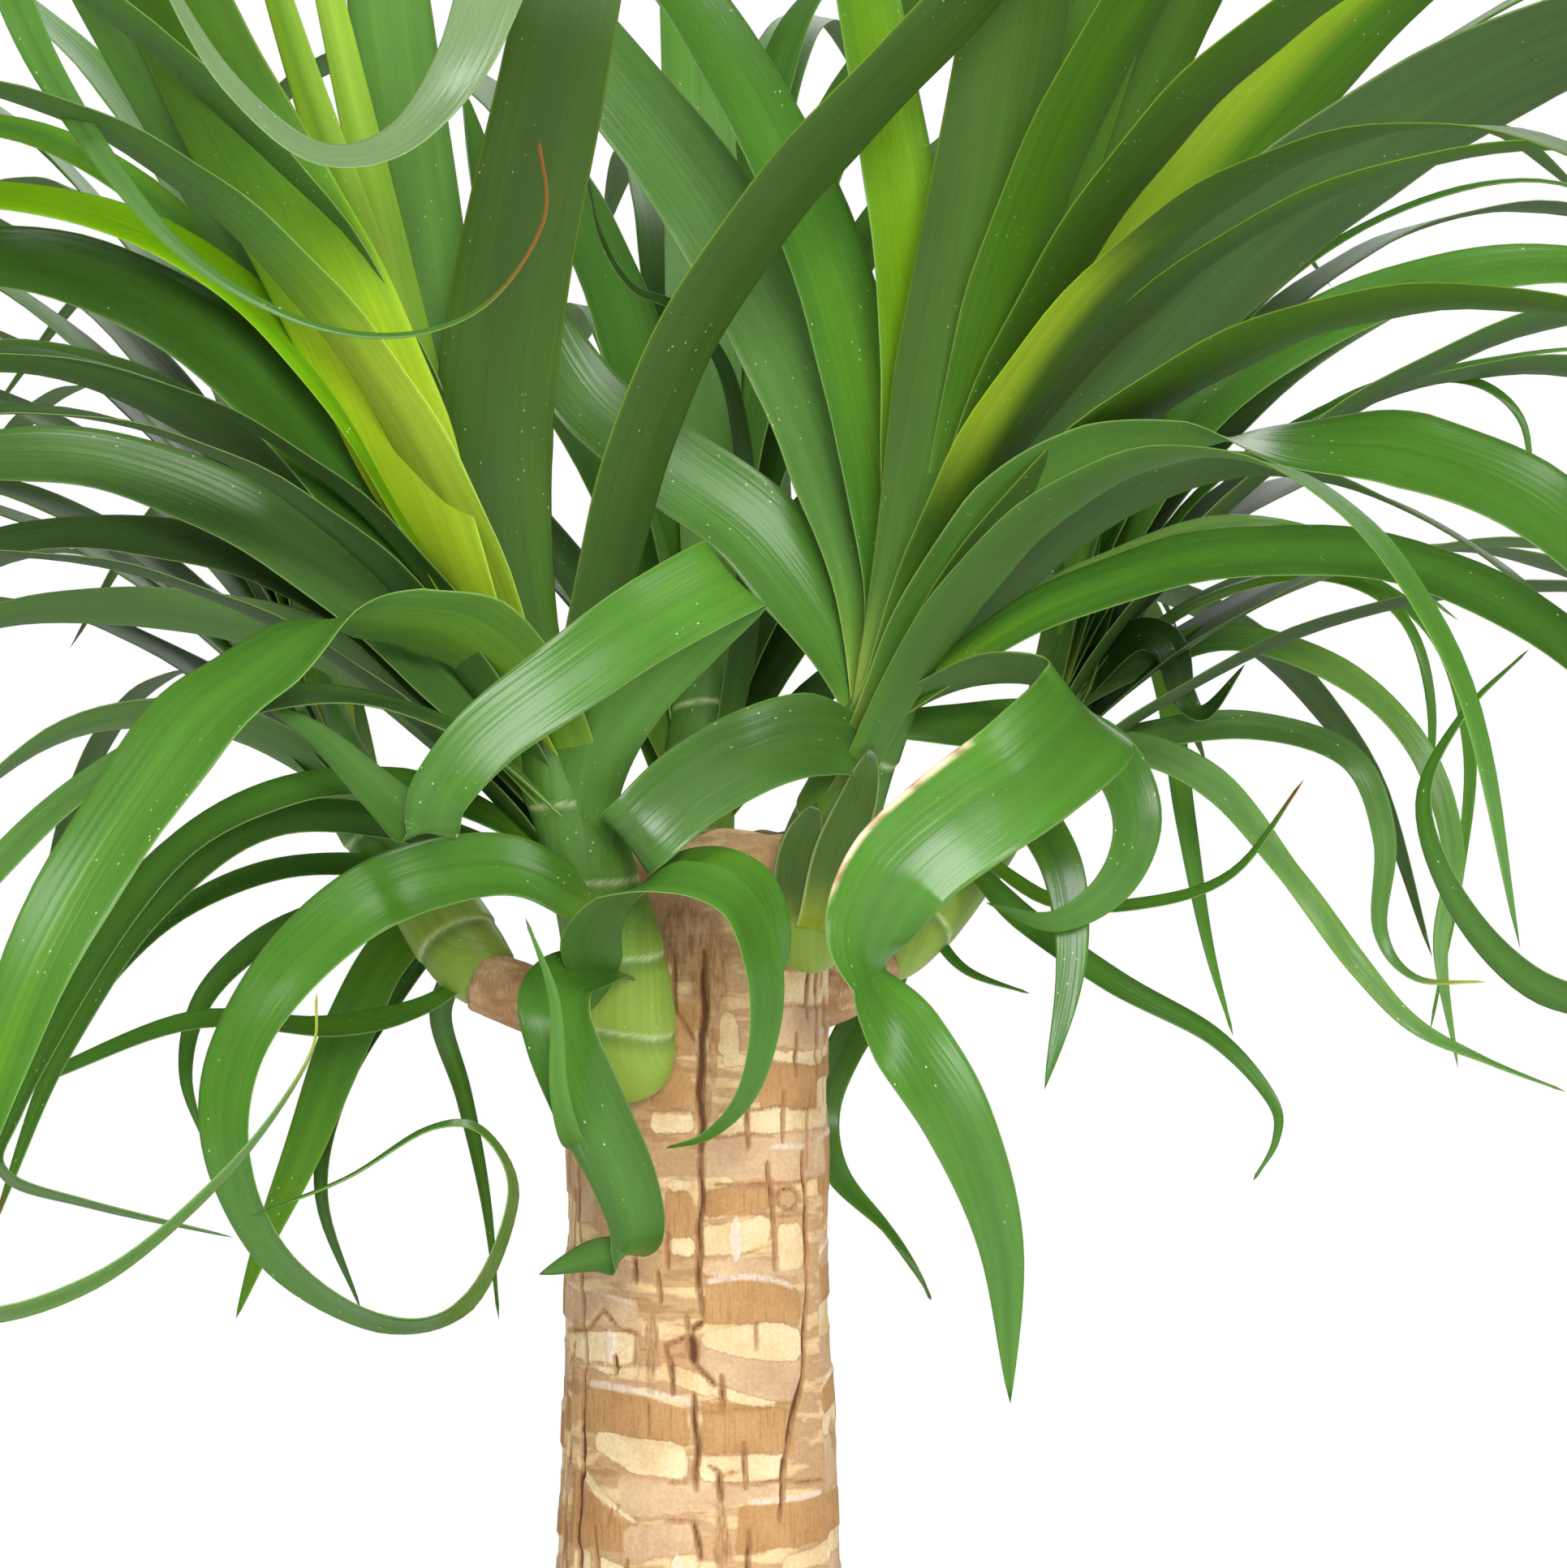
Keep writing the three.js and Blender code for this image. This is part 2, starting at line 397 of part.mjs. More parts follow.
// The pot's inner radius at a height.
function potInner(height) {
  const slope = (POT_BODY_RADIUS - POT_FOOT_RADIUS) / (POT_HEIGHT - POT_RIM_BAND);
  return POT_FOOT_RADIUS + slope * height - POT_WALL;
}

// The rows of the trunk's skin: height, relief and how much of the wave the row takes.
function trunkRows() {
  const rows = TRUNK_PROFILE.slice(0, 2).map(([height]) => [height, 0, 0]);
  rows.push([SOIL_TOP + SOIL_BUMP + 4, 0, 0]);
  let height = SCAR_FIRST;
  for (let scar = 0; height < TRUNK_TOP - SCAR_SPACING / 2; scar++) {
    rows.push([height, SCAR_OUT, 1], [height + SCAR_HEIGHT, -SCAR_IN, 1]);
    height += SCAR_SPACING + SCAR_DRIFT * Math.sin(2.3 * scar);
  }
  return rows;
}

function trunk(grow = 0) {
  const ring = (height, relief, waviness) =>
    Array.from({ length: TRUNK_SIDES }, (_, side) => {
      const angle = (2 * Math.PI * side) / TRUNK_SIDES;
      const lift = SCAR_WAVE * waviness * wave(angle, height);
      const radius = lerpTable(TRUNK_PROFILE, height) + relief + grow + SCAR_SWELL * lift;
      return new THREE.Vector3(radius * Math.cos(angle), radius * Math.sin(angle), height + lift);
    });
  const rings = trunkRows().map((row) => ring(...row));
  const top = ring(TRUNK_TOP + grow, 0, 0);
  top.forEach((point, side) => (point.z += TRUNK_TOP_JAGS * Math.sin(side * 2.1)));
  rings.push(top);
  const foot = new THREE.Vector3(0, 0, TRUNK_BURIED);
  const middle = new THREE.Vector3(0, 0, TRUNK_TOP - TRUNK_TOP_JAGS + grow);
  const stubs = STUBS.map((route) => tube(route, STUB_SIDES, grow));
  return stubs.reduce((body, stub) => body.add(stub), skin(rings, foot, middle));
}

function pot() {
  const bandFoot = POT_HEIGHT - POT_RIM_BAND;
  const outline = [
    [0, 0],
    [POT_FOOT_RADIUS - POT_EDGE, 0],
    [POT_FOOT_RADIUS, POT_EDGE],
    [POT_BODY_RADIUS, bandFoot],
    [POT_RIM_RADIUS - POT_EDGE, bandFoot],
    [POT_RIM_RADIUS, bandFoot + POT_EDGE],
    [POT_RIM_RADIUS, POT_HEIGHT - POT_EDGE],
    [POT_RIM_RADIUS - POT_EDGE, POT_HEIGHT],
    [potInner(POT_HEIGHT) + POT_EDGE, POT_HEIGHT],
    [potInner(POT_HEIGHT), POT_HEIGHT - POT_EDGE],
    [potInner(POT_FLOOR), POT_FLOOR],
    [0, POT_FLOOR],
  ];
  const body = toSolid(lathe(outline, POT_SIDES));
  return Array.from({ length: DRAIN_HOLES }).reduce((rest, _, hole) => {
    const angle = (2 * Math.PI * hole) / DRAIN_HOLES + Math.PI / 2;
    const drill = wasm.Manifold.cylinder(3 * POT_FLOOR, DRAIN_RADIUS, DRAIN_RADIUS, DRAIN_SIDES, true);
    return rest.subtract(drill.translate([DRAIN_RING * Math.cos(angle), DRAIN_RING * Math.sin(angle), 0]));
  }, body);
}

// A turned solid about the vertical, from an outline of radius and height.
function lathe(outline, sides) {
  const points = outline.map(([radius, height]) => new THREE.Vector2(radius, height));
  return new THREE.LatheGeometry(points, sides).rotateX(Math.PI / 2);
}

function soil() {
  const outer = (height) => potInner(height) - 2 * GAP;
  const foot = POT_FLOOR + GAP;
  const holeFoot = TRUNK_BURIED - GAP;
  const hole = (height) => lerpTable(TRUNK_PROFILE, height) + 2 * GAP;
  const ring = (radius, height, bumps) =>
    Array.from({ length: TRUNK_SIDES }, (_, side) => {
      const angle = (2 * Math.PI * side) / TRUNK_SIDES;
      const bump = bumps * SOIL_BUMP * Math.sin(3 * angle + radius) * Math.cos(radius / 7 + angle);
      return new THREE.Vector3(radius * Math.cos(angle), radius * Math.sin(angle), height + bump);
    });
  const rings = [ring(outer(foot), foot, 0), ring(outer(SOIL_TOP), SOIL_TOP, 0)];
  for (let i = 1; i <= SOIL_RINGS; i++) {
    const across = i / SOIL_RINGS;
    const radius = outer(SOIL_TOP) + (hole(SOIL_TOP) - outer(SOIL_TOP)) * across;
    const height = SOIL_TOP + SOIL_MOUND * Math.sin(Math.PI * across);
    rings.push(ring(radius, height, i < SOIL_RINGS ? 1 : 0));
  }
  rings.push(ring(hole(TRUNK_PROFILE[1][0]), TRUNK_PROFILE[1][0], 0));
  rings.push(ring(hole(TRUNK_BURIED), holeFoot, 0));
  return skin(rings, new THREE.Vector3(0, 0, foot), new THREE.Vector3(0, 0, holeFoot));
}

// The direction across a blade at a route point whose route runs along "along".
function acrossAt([, , , turn, heading], along) {
  if (heading !== undefined) {
    const angle = THREE.MathUtils.degToRad(heading);
    return new THREE.Vector3(Math.cos(angle), 0, Math.sin(angle));
  }
  const level = new THREE.Vector3().crossVectors(along, VIEW).normalize();
  const raised = new THREE.Vector3().crossVectors(level, along);
  const angle = THREE.MathUtils.degToRad(turn);
  return level.multiplyScalar(Math.cos(angle)).addScaledVector(raised, Math.sin(angle));
}

// A drawn leaf becomes points and across directions. Its root starts inside the stem.
function drawnLeaf([, half, taper, ...rows], stem) {
  const points = rows.map(([x, y, z]) => new THREE.Vector3(x, y, z));
  const across = rows.map((row, i) => {
    const before = points[Math.max(i - 1, 0)];
    const after = points[Math.min(i + 1, points.length - 1)];
    return acrossAt(row, after.clone().sub(before).normalize());
  });
  points.unshift(axisPoint(stem, points[0].z - ROOT_DROP));
  across.unshift(across[0].clone());
  return { half, taper, points, across };
}

// The point of a stem's middle line at a height.
function axisPoint(stem, height) {
  const clamped = Math.min(Math.max(height, stem[1][2]), stem.at(-2)[2]);
  const coordinate = (k) => lerpTable(stem.map((row) => [row[2], row[k]]), clamped);
  return new THREE.Vector3(coordinate(0), coordinate(1), clamped);
}

// A seeded draw between 0 and 1.
function draws(seed) {
  let state = seed;
  return () => {
    state = (state + 0x6d2b79f5) | 0;
    let mixed = Math.imul(state ^ (state >>> 15), 1 | state);
    mixed = (mixed + Math.imul(mixed ^ (mixed >>> 7), 61 | mixed)) ^ mixed;
    return ((mixed ^ (mixed >>> 14)) >>> 0) / 4294967296;
  };
}

// Leaves by rule: each leaves the stem in its own direction, steep at first, and bends over under
// its weight. Lower leaves are older, leave flatter and bend further.
function ruleLeaves(stem, { count, from, to, low, high, seed }) {
  const draw = draws(seed);
  const [rootLow, rootHigh] = [stem[2][2], stem.at(-2)[2]];
  return Array.from({ length: count }, (_, i) => {
    const age = 1 - i / (count - 1);
    const turned = (i * GOLDEN_TURN) % 1;
    const azimuth = THREE.MathUtils.degToRad(from + (to - from) * (0.8 * turned + 0.2 * draw()));
    const steep = low + (high - low) * (1 - age) + 6 * draw() - 3;
    const length = FILL_LENGTH * (0.82 + 0.3 * draw());
    const bend = FILL_BEND * (0.72 + 0.25 * age + 0.16 * draw());
    const twist = FILL_TWIST * (draw() - 0.5);
    const half = FILL_HALF_WIDTH * (0.75 + 0.45 * draw());
    const points = [axisPoint(stem, rootLow + (rootHigh - rootLow) * (1 - age))];
    const across = [];
    const step = length / (FILL_POINTS - 1);
    for (let k = 0; k < FILL_POINTS; k++) {
      const s = k / (FILL_POINTS - 1);
      const lift = THREE.MathUtils.degToRad(steep - bend * s ** FILL_BEND_POWER);
      const swing = azimuth + FILL_SWING * (turned - 0.5) * s * s;
      const roll = THREE.MathUtils.degToRad(twist * s);
      const level = new THREE.Vector3(-Math.sin(swing), Math.cos(swing), 0);
      across.push(level.multiplyScalar(Math.cos(roll)).addScaledVector(UP, Math.sin(roll)));
      if (k + 1 < FILL_POINTS) {
        const out = step * Math.cos(lift);
        const rise = new THREE.Vector3(Math.cos(swing) * out, Math.sin(swing) * out, step * Math.sin(lift));
        points.push(points[k].clone().add(rise));
      }
    }
    return { half, taper: FILL_TAPER, points, across };
  });
}

// The half width of a blade at a share of its length.
function widthAt(half, taper, share) {
  const root = BLADE_ROOT + (1 - BLADE_ROOT) * Math.min(1, share / BLADE_ROOT_LENGTH);
  return half * root * (1 - share ** taper) ** TAPER_POWER;
}

// The stations of a blade: closer where the route or the blade turns.
function stations({ points, across }) {
  const curve = new THREE.CatmullRomCurve3(points, false, "catmullrom", 0.5);
  const count = (points.length - 1) * BLADE_FINE_STEPS;
  const fine = Array.from({ length: count + 1 }, (_, i) => {
    const at = curve.getPoint(i / count);
    const along = curve.getTangent(i / count);
    const whole = Math.min(Math.floor(i / BLADE_FINE_STEPS), points.length - 2);
    const wide = across[whole].clone().lerp(across[whole + 1], i / BLADE_FINE_STEPS - whole);
    wide.addScaledVector(along, -wide.dot(along)).normalize();
    return { at, along, wide, length: 0 };
  });
  fine.slice(1).forEach((here, i) => (here.length = fine[i].length + here.at.distanceTo(fine[i].at)));
  const chosen = [fine[0]];
  let turned = 0;
  for (let i = 1; i < count; i++) {
    turned += fine[i].along.angleTo(fine[i - 1].along);
    turned += BLADE_TURN_SHARE * fine[i].wide.angleTo(fine[i - 1].wide);
    const gone = fine[i].length - chosen.at(-1).length;
    const left = fine[count].length - fine[i].length;
    if ((turned > BLADE_TURN || gone > BLADE_STEP) && left > BLADE_LAST) {
      chosen.push(fine[i]);
      turned = 0;
    }
  }
  return { chosen, tip: fine[count].at, total: fine[count].length };
}

// One blade: at each station the two margins, the raised middle and the keel under it.
function blade(leaf) {
  const { chosen, tip, total } = stations(leaf);
  const rings = chosen.map(({ at, along, wide, length }) => {
    const share = length / total;
    const half = Math.max(widthAt(leaf.half, leaf.taper, share), TIP_HALF_WIDTH);
    const face = new THREE.Vector3().crossVectors(along, wide);
    const thick = BLADE_THICKNESS * (1 - TIP_THINNING * share);
    const lift = BLADE_CHANNEL * half * (1 - TIP_FLATTENING * share);
    const corner = (out, up) => at.clone().addScaledVector(wide, out).addScaledVector(face, up);
    return [corner(half, lift), corner(0, thick / 2), corner(-half, lift), corner(0, -thick / 2)];
  });
  return skin(rings, chosen[0].at, tip, true);
}

// A head is its stem and leaves in one body, cut clear of the trunk.
function head({ stem, leaves, fill }, clear) {
  const grown = [...leaves.map((leaf) => drawnLeaf(leaf, stem)), ...ruleLeaves(stem, fill)];
  const parts = [tube(stem, STEM_SIDES), ...grown.map(blade)];
  const body = wasm.Manifold.union(parts).subtract(clear).simplify(SLIVER);
  return body.decompose().sort((a, b) => b.volume() - a.volume())[0];
}

const palm = new THREE.Group();
function place(name, solid) {
  const mesh = new THREE.Mesh(toGeometry(solid), new THREE.MeshStandardMaterial());
  mesh.name = name;
  palm.add(mesh);
}

place("pot", pot());
place("soil", soil());
place("trunk", trunk());
const clear = trunk(GAP + SLIVER);
HEADS.forEach((spec) => place(spec.name, head(spec, clear)));

export default palm;
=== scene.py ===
"""A potted ponytail palm: fine leaves on their stems, a trunk with cracked, ring-scarred bark, a clay
pot and crumbly soil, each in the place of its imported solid. Lengths are millimetres up to the moment
a mesh is made, and a surface is a grid of points worked out as whole arrays."""
import math

import bpy
import numpy as np
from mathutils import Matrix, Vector


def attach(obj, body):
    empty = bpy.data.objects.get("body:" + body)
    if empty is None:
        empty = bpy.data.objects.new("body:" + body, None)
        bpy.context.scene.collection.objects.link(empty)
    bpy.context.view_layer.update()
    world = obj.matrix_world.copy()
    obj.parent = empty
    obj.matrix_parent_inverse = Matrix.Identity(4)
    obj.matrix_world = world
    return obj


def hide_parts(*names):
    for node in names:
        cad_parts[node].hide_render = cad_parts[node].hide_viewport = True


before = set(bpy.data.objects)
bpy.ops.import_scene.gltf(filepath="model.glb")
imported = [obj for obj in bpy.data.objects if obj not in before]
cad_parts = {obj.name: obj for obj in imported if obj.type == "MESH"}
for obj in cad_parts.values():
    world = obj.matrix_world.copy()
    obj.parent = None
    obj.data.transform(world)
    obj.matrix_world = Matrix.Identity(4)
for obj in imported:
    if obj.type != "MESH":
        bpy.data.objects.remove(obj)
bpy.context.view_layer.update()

MM = 0.001
UP = np.array([0.0, 0.0, 1.0])
VIEW = np.array([0.0, 1.0, 0.0])

# Each leaf: its name, half width, taper (high keeps its width for longer), then its route from root
# to tip as x, y, z and the turn of the blade about the route in degrees. At turn 0 the upper face
# looks to the front, at 180 the lower face does. A fifth number is the direction of the blade's
# width, seen from the front, where the route itself runs front to back, as in a fold.
FRONT_LEFT = [
  ["long arch", 13.4, 2.6, [-25, -55, 512, -150], [-35, -66, 538, -140], [-49, -80, 551, -135],
    [-63, -92, 554, -115], [-75, -101, 553, -80], [-88, -110, 543, -50], [-105, -120, 527, -35],
    [-131, -133, 484, -28], [-148, -138, 432, -38], [-152, -138, 402, -50]],
  ["folded over", 9.8, 3, [-24, -55, 501, 180], [-23, -62, 521, 180], [-16, -66, 538, 180],
    [-3, -70, 552, 180], [8, -79, 563, 0, -45], [-9, -92, 554, 0], [-26, -98, 542, 0],
    [-42, -101, 530, 0], [-52, -101, 518, 0], [-55, -96, 510, 0, 0], [-65, -88, 518, 180],
    [-78, -86, 530, 180], [-93, -86, 539, 180]],
  ["ring", 9.5, 1.2, [-22, -57, 493, -30], [-37, -66, 502, -25], [-54, -74, 501, -20],
    [-70, -80, 494, -20], [-86, -84, 479, -25], [-96, -86, 460, -30], [-96, -86, 440, -36],
    [-86, -82, 420, -50], [-65, -76, 407, -60], [-48, -74, 411, -64], [-38, -76, 433, -70],
    [-44, -81, 447, -76], [-55, -85, 448, -80], [-72, -89, 438, -80], [-92, -90, 430, -70]],
  ["hanging front", 8.3, 4, [-19, -52, 481, -40], [-28, -66, 477, -30], [-28, -74, 468, -20],
    [-22, -76, 453, -8], [-15, -75, 438, 0], [-12, -72, 427, 0], [-14, -67, 421, 0, 15],
    [-22, -63, 420, 180], [-33, -60, 416, 180]],
  ["upturned", 3.6, 1.6, [-23, -43, 464, 0], [-21, -62, 446, 0], [-25, -75, 444, 0, 0],
    [-28, -83, 456, 180], [-29, -84, 475, 180], [-35, -83, 492, 180]],
  ["hoop", 7.8, 2, [-19, -52, 477, 150], [-21, -66, 488, 145], [-15, -78, 496, 110],
    [-4, -86, 500, 60], [8, -87, 496, 45], [14, -84, 484, 38], [15, -79, 470, 36],
    [11, -73, 455, 38], [3, -68, 446, 40], [-6, -64, 443, 40]],
  ["behind hoop", 6.5, 2, [-15, -56, 493, 90], [-4, -65, 502, 65], [7, -67, 503, 52],
    [15, -66, 497, 42], [18, -62, 484, 35], [13, -57, 470, 40]],
  ["crossing", 8.5, 3.5, [-25, -54, 500, 150], [-25, -57, 530, 148], [-16, -66, 572, 142],
    [-4, -77, 607, 140], [18, -86, 641, 140], [50, -94, 675, 140], [84, -104, 708, 135],
    [120, -116, 726, 120], [165, -128, 716, 105], [198, -136, 680, 95], [212, -140, 640, 90]],
  ["tall u curl", 13, 2.2, [-29, -58, 521, 170], [-38, -65, 552, 170], [-42, -72, 590, 175],
    [-38, -82, 625, 180], [-29, -97, 665, 180], [-23, -116, 695, 180], [-27, -133, 704, 0, 0],
    [-36, -146, 688, 0], [-45, -150, 664, -20], [-58, -150, 648, -45], [-75, -148, 646, -55],
    [-92, -145, 660, -54], [-105, -141, 681, -50], [-112, -136, 700, -50]],
  ["heart", 11.5, 2.8, [-35, -61, 533, -100], [-48, -69, 559, -125], [-59, -74, 584, -150],
    [-76, -78, 622, -160], [-98, -82, 662, -162], [-117, -88, 698, -156], [-142, -96, 728, -140],
    [-172, -106, 736, -120], [-198, -116, 712, -100], [-210, -122, 676, -90]],
  ["pale inner", 6, 2, [-37, -57, 535, -170], [-51, -60, 566, -170], [-66, -63, 620, -170],
    [-82, -70, 668, -170], [-96, -76, 712, -165], [-108, -84, 738, -160]],
  ["bright inner", 7, 2, [-36, -55, 535, 170], [-48, -58, 562, 172], [-60, -60, 612, 175],
    [-72, -63, 664, 174], [-84, -68, 716, 170], [-94, -76, 752, 165]],
  ["upright inner", 10, 2.6, [-33, -53, 531, 176], [-44, -54, 559, 178], [-54, -55, 606, 178],
    [-61, -57, 656, 178], [-68, -61, 706, 175], [-80, -70, 756, 165], [-100, -84, 790, 150],
    [-130, -98, 806, 130], [-160, -110, 790, 110]],
  ["thin curl", 8.4, 1.05, [-35, -52, 531, -150], [-58, -53, 572, -150], [-84, -57, 613, -150],
    [-108, -68, 654, -155], [-126, -84, 687, -165], [-135, -102, 704, 180],
    [-140, -121, 705, 0, 33], [-139, -138, 689, 0], [-128, -147, 662, 7], [-105, -152, 630, 25],
    [-82, -153, 614, 37], [-60, -153, 609, 42], [-41, -151, 615, 45], [-29, -150, 632, 45],
    [-30, -148, 649, 45]],
  ["west bright", 6.6, 2, [-36, -56, 530, -60], [-51, -63, 560, -55], [-72, -70, 597, -48],
    [-96, -71, 624, -42], [-124, -74, 639, -40], [-156, -81, 642, -46], [-184, -96, 627, -50],
    [-196, -110, 592, -45], [-200, -116, 560, -40]],
  ["west dark", 10.5, 2.6, [-33, -54, 526, -40], [-50, -57, 556, -35], [-72, -59, 583, -31],
    [-100, -61, 612, -30], [-131, -64, 628, -32], [-164, -76, 628, -40], [-194, -95, 606, -40],
    [-210, -110, 566, -36], [-216, -118, 524, -34]],
  ["west top", 7, 2, [-38, -50, 534, -50], [-58, -49, 566, -45], [-84, -48, 608, -41],
    [-118, -47, 646, -41], [-152, -53, 660, -46], [-184, -69, 648, -50], [-200, -82, 616, -45]],
  ["west dull", 8, 2.2, [-31, -50, 521, -140], [-51, -48, 545, -138], [-82, -46, 578, -136],
    [-114, -44, 602, -136], [-148, -48, 611, -130], [-180, -68, 600, -108], [-198, -84, 568, -88]],
  ["west mid", 9.5, 2.6, [-30, -55, 517, -45], [-51, -59, 540, -40], [-76, -61, 564, -36],
    [-109, -61, 583, -35], [-142, -65, 589, -40], [-176, -83, 579, -44], [-198, -102, 546, -38],
    [-206, -112, 506, -34]],
  ["west low", 8, 2.2, [-29, -50, 512, -50], [-50, -48, 535, -46], [-80, -45, 561, -45],
    [-114, -44, 572, -46], [-148, -52, 571, -50], [-178, -70, 554, -46], [-192, -82, 520, -42]],
  ["west under", 8.5, 2.2, [-27, -48, 507, -130], [-48, -42, 526, -132], [-80, -34, 549, -134],
    [-114, -30, 557, -132], [-148, -37, 556, -118], [-176, -54, 541, -95], [-190, -66, 512, -80]],
  ["low return", 7.5, 1.5, [-27, -50, 500, -70], [-41, -52, 511, -65], [-62, -54, 519, -60],
    [-86, -57, 518, -59], [-110, -62, 505, -52], [-128, -68, 480, -47], [-143, -73, 450, -50],
    [-144, -76, 438, -60], [-126, -78, 432, -60], [-96, -79, 425, -60]],
  ["low second", 7, 2, [-26, -45, 498, -60], [-43, -41, 504, -58], [-66, -36, 511, -56],
    [-92, -36, 511, -53], [-116, -41, 493, -48], [-136, -47, 461, -43], [-150, -52, 424, -42]],
  ["swoop", 7, 1.4, [-29, -57, 514, -80], [-50, -72, 531, -75], [-77, -86, 538, -70],
    [-104, -99, 531, -62], [-135, -113, 510, -52], [-160, -127, 474, -44], [-166, -136, 434, -44],
    [-148, -140, 414, -48], [-120, -140, 420, -50], [-94, -140, 441, -54], [-77, -138, 464, -64],
    [-75, -138, 478, -70]],
]
FRONT_RIGHT = [
  ["folded forward", 14, 2.4, [36, -38, 523, 110], [44, -42, 535, 105], [57, -48, 541, 100],
    [71, -56, 542, 98], [82, -70, 535, 60, -50], [70, -88, 523, 0], [56, -94, 513, 0],
    [43, -96, 502, 0], [36, -95, 490, 30], [36, -94, 479, 66], [44, -93, 467, 26],
    [55, -92, 450, 6], [64, -90, 424, 0], [66, -88, 391, 0]],
  ["left folded", 9.4, 4, [36, -40, 526, -30], [26, -52, 530, -20], [13, -64, 527, -10],
    [-1, -70, 519, -5], [-11, -73, 510, 0], [-14, -69, 508, 0, -51], [-8, -63, 515, 180],
    [0, -58, 525, 180], [9, -54, 532, 180], [17, -51, 536, 180]],
  ["glossy", 11.5, 2.6, [37, -30, 535, -40], [30, -24, 551, -30], [14, -15, 574, -24],
    [-8, -6, 591, -22], [-27, 3, 608, -27], [-43, 14, 640, -30], [-53, 24, 676, -30]],
  ["wide left", 13, 2.8, [39, -28, 538, -30], [38, -20, 563, -26], [27, -10, 600, -23],
    [6, 2, 641, -22], [-20, 13, 677, -24], [-46, 28, 706, -34], [-76, 44, 716, -44],
    [-104, 58, 700, -50]],
  ["arched left", 10, 2.6, [40, -30, 540, -30], [42, -26, 567, -26], [35, -20, 610, -24],
    [20, -13, 654, -24], [-6, -3, 698, -26], [-32, 10, 722, -36], [-60, 26, 726, -44],
    [-84, 40, 706, -48]],
  ["bright side", 9, 2.6, [42, -32, 542, -30], [46, -32, 572, -25], [47, -34, 620, -20],
    [40, -38, 670, -20], [30, -45, 716, -25], [12, -54, 752, -35], [-14, -62, 764, -50],
    [-40, -66, 748, -60]],
  ["tall front", 12.5, 3, [41, -38, 540, 165], [47, -42, 566, 168], [56, -48, 614, 171],
    [66, -56, 668, 172], [74, -66, 716, 170], [86, -82, 758, 160], [108, -100, 784, 140],
    [140, -116, 780, 115], [166, -128, 752, 100]],
  ["tall second", 10.5, 2.8, [43, -36, 544, 158], [55, -38, 578, 162], [72, -42, 635, 165],
    [90, -48, 690, 164], [108, -58, 736, 158], [134, -72, 768, 140], [166, -84, 768, 120],
    [192, -94, 742, 104]],
  ["tall dark", 8, 2.4, [46, -34, 547, 150], [60, -35, 582, 156], [86, -37, 648, 158],
    [114, -42, 704, 156], [140, -52, 742, 146], [172, -64, 756, 128], [202, -76, 734, 110]],
  ["east heart", 8.5, 2.4, [44, -32, 544, 120], [61, -31, 575, 140], [86, -31, 617, 156],
    [116, -33, 655, 158], [148, -39, 689, 153], [181, -52, 711, 138], [212, -68, 706, 118],
    [233, -80, 679, 100]],
  ["east wide", 13, 3, [42, -39, 540, 140], [57, -41, 563, 145], [84, -44, 598, 149],
    [118, -47, 635, 150], [158, -52, 664, 147], [200, -61, 680, 135], [238, -76, 668, 112],
    [262, -90, 628, 95], [270, -98, 590, 88]],
  ["twisted east", 12.5, 3, [40, -42, 535, 130], [51, -51, 556, 132], [68, -61, 577, 134],
    [88, -71, 589, 124], [107, -79, 592, 98], [126, -87, 590, 60], [149, -94, 588, 36],
    [175, -101, 577, 30], [198, -107, 551, 31], [211, -110, 520, 36], [216, -112, 488, 40]],
  ["east return", 9, 1.9, [38, -40, 531, 60], [54, -46, 544, 56], [80, -53, 559, 51],
    [114, -61, 568, 48], [150, -67, 566, 46], [182, -74, 550, 42], [205, -78, 524, 40],
    [210, -80, 496, 40], [198, -83, 477, 38], [178, -85, 477, 38], [160, -88, 494, 38],
    [152, -88, 516, 50], [160, -88, 534, 60], [174, -87, 548, 60]],
  ["east dull", 8, 2.2, [40, -34, 535, 125], [56, -34, 552, 126], [84, -32, 576, 128],
    [114, -32, 588, 118], [146, -34, 582, 88], [178, -39, 562, 72], [204, -48, 528, 70]],
  ["east pale", 6, 2, [42, -28, 537, 70], [60, -24, 551, 66], [88, -15, 567, 61],
    [118, -5, 577, 60], [146, 2, 571, 58], [168, 6, 556, 55]],
  ["right loop", 7.5, 2.6, [38, -30, 531, 60], [57, -24, 532, 50], [76, -18, 532, 40],
    [90, -13, 526, 20], [96, -12, 512, 6], [91, -12, 498, 8], [78, -11, 490, 25],
    [63, -10, 494, 38]],
  ["tall sheath", 5.2, 6, [27, -38, 490, 0], [30, -43, 504, 0], [35, -47, 517, 0],
    [38, -48, 528, 0]],
  ["short sheath", 5, 6, [22, -34, 491, 10], [22, -41, 504, 5], [26, -44, 516, 0]],
]
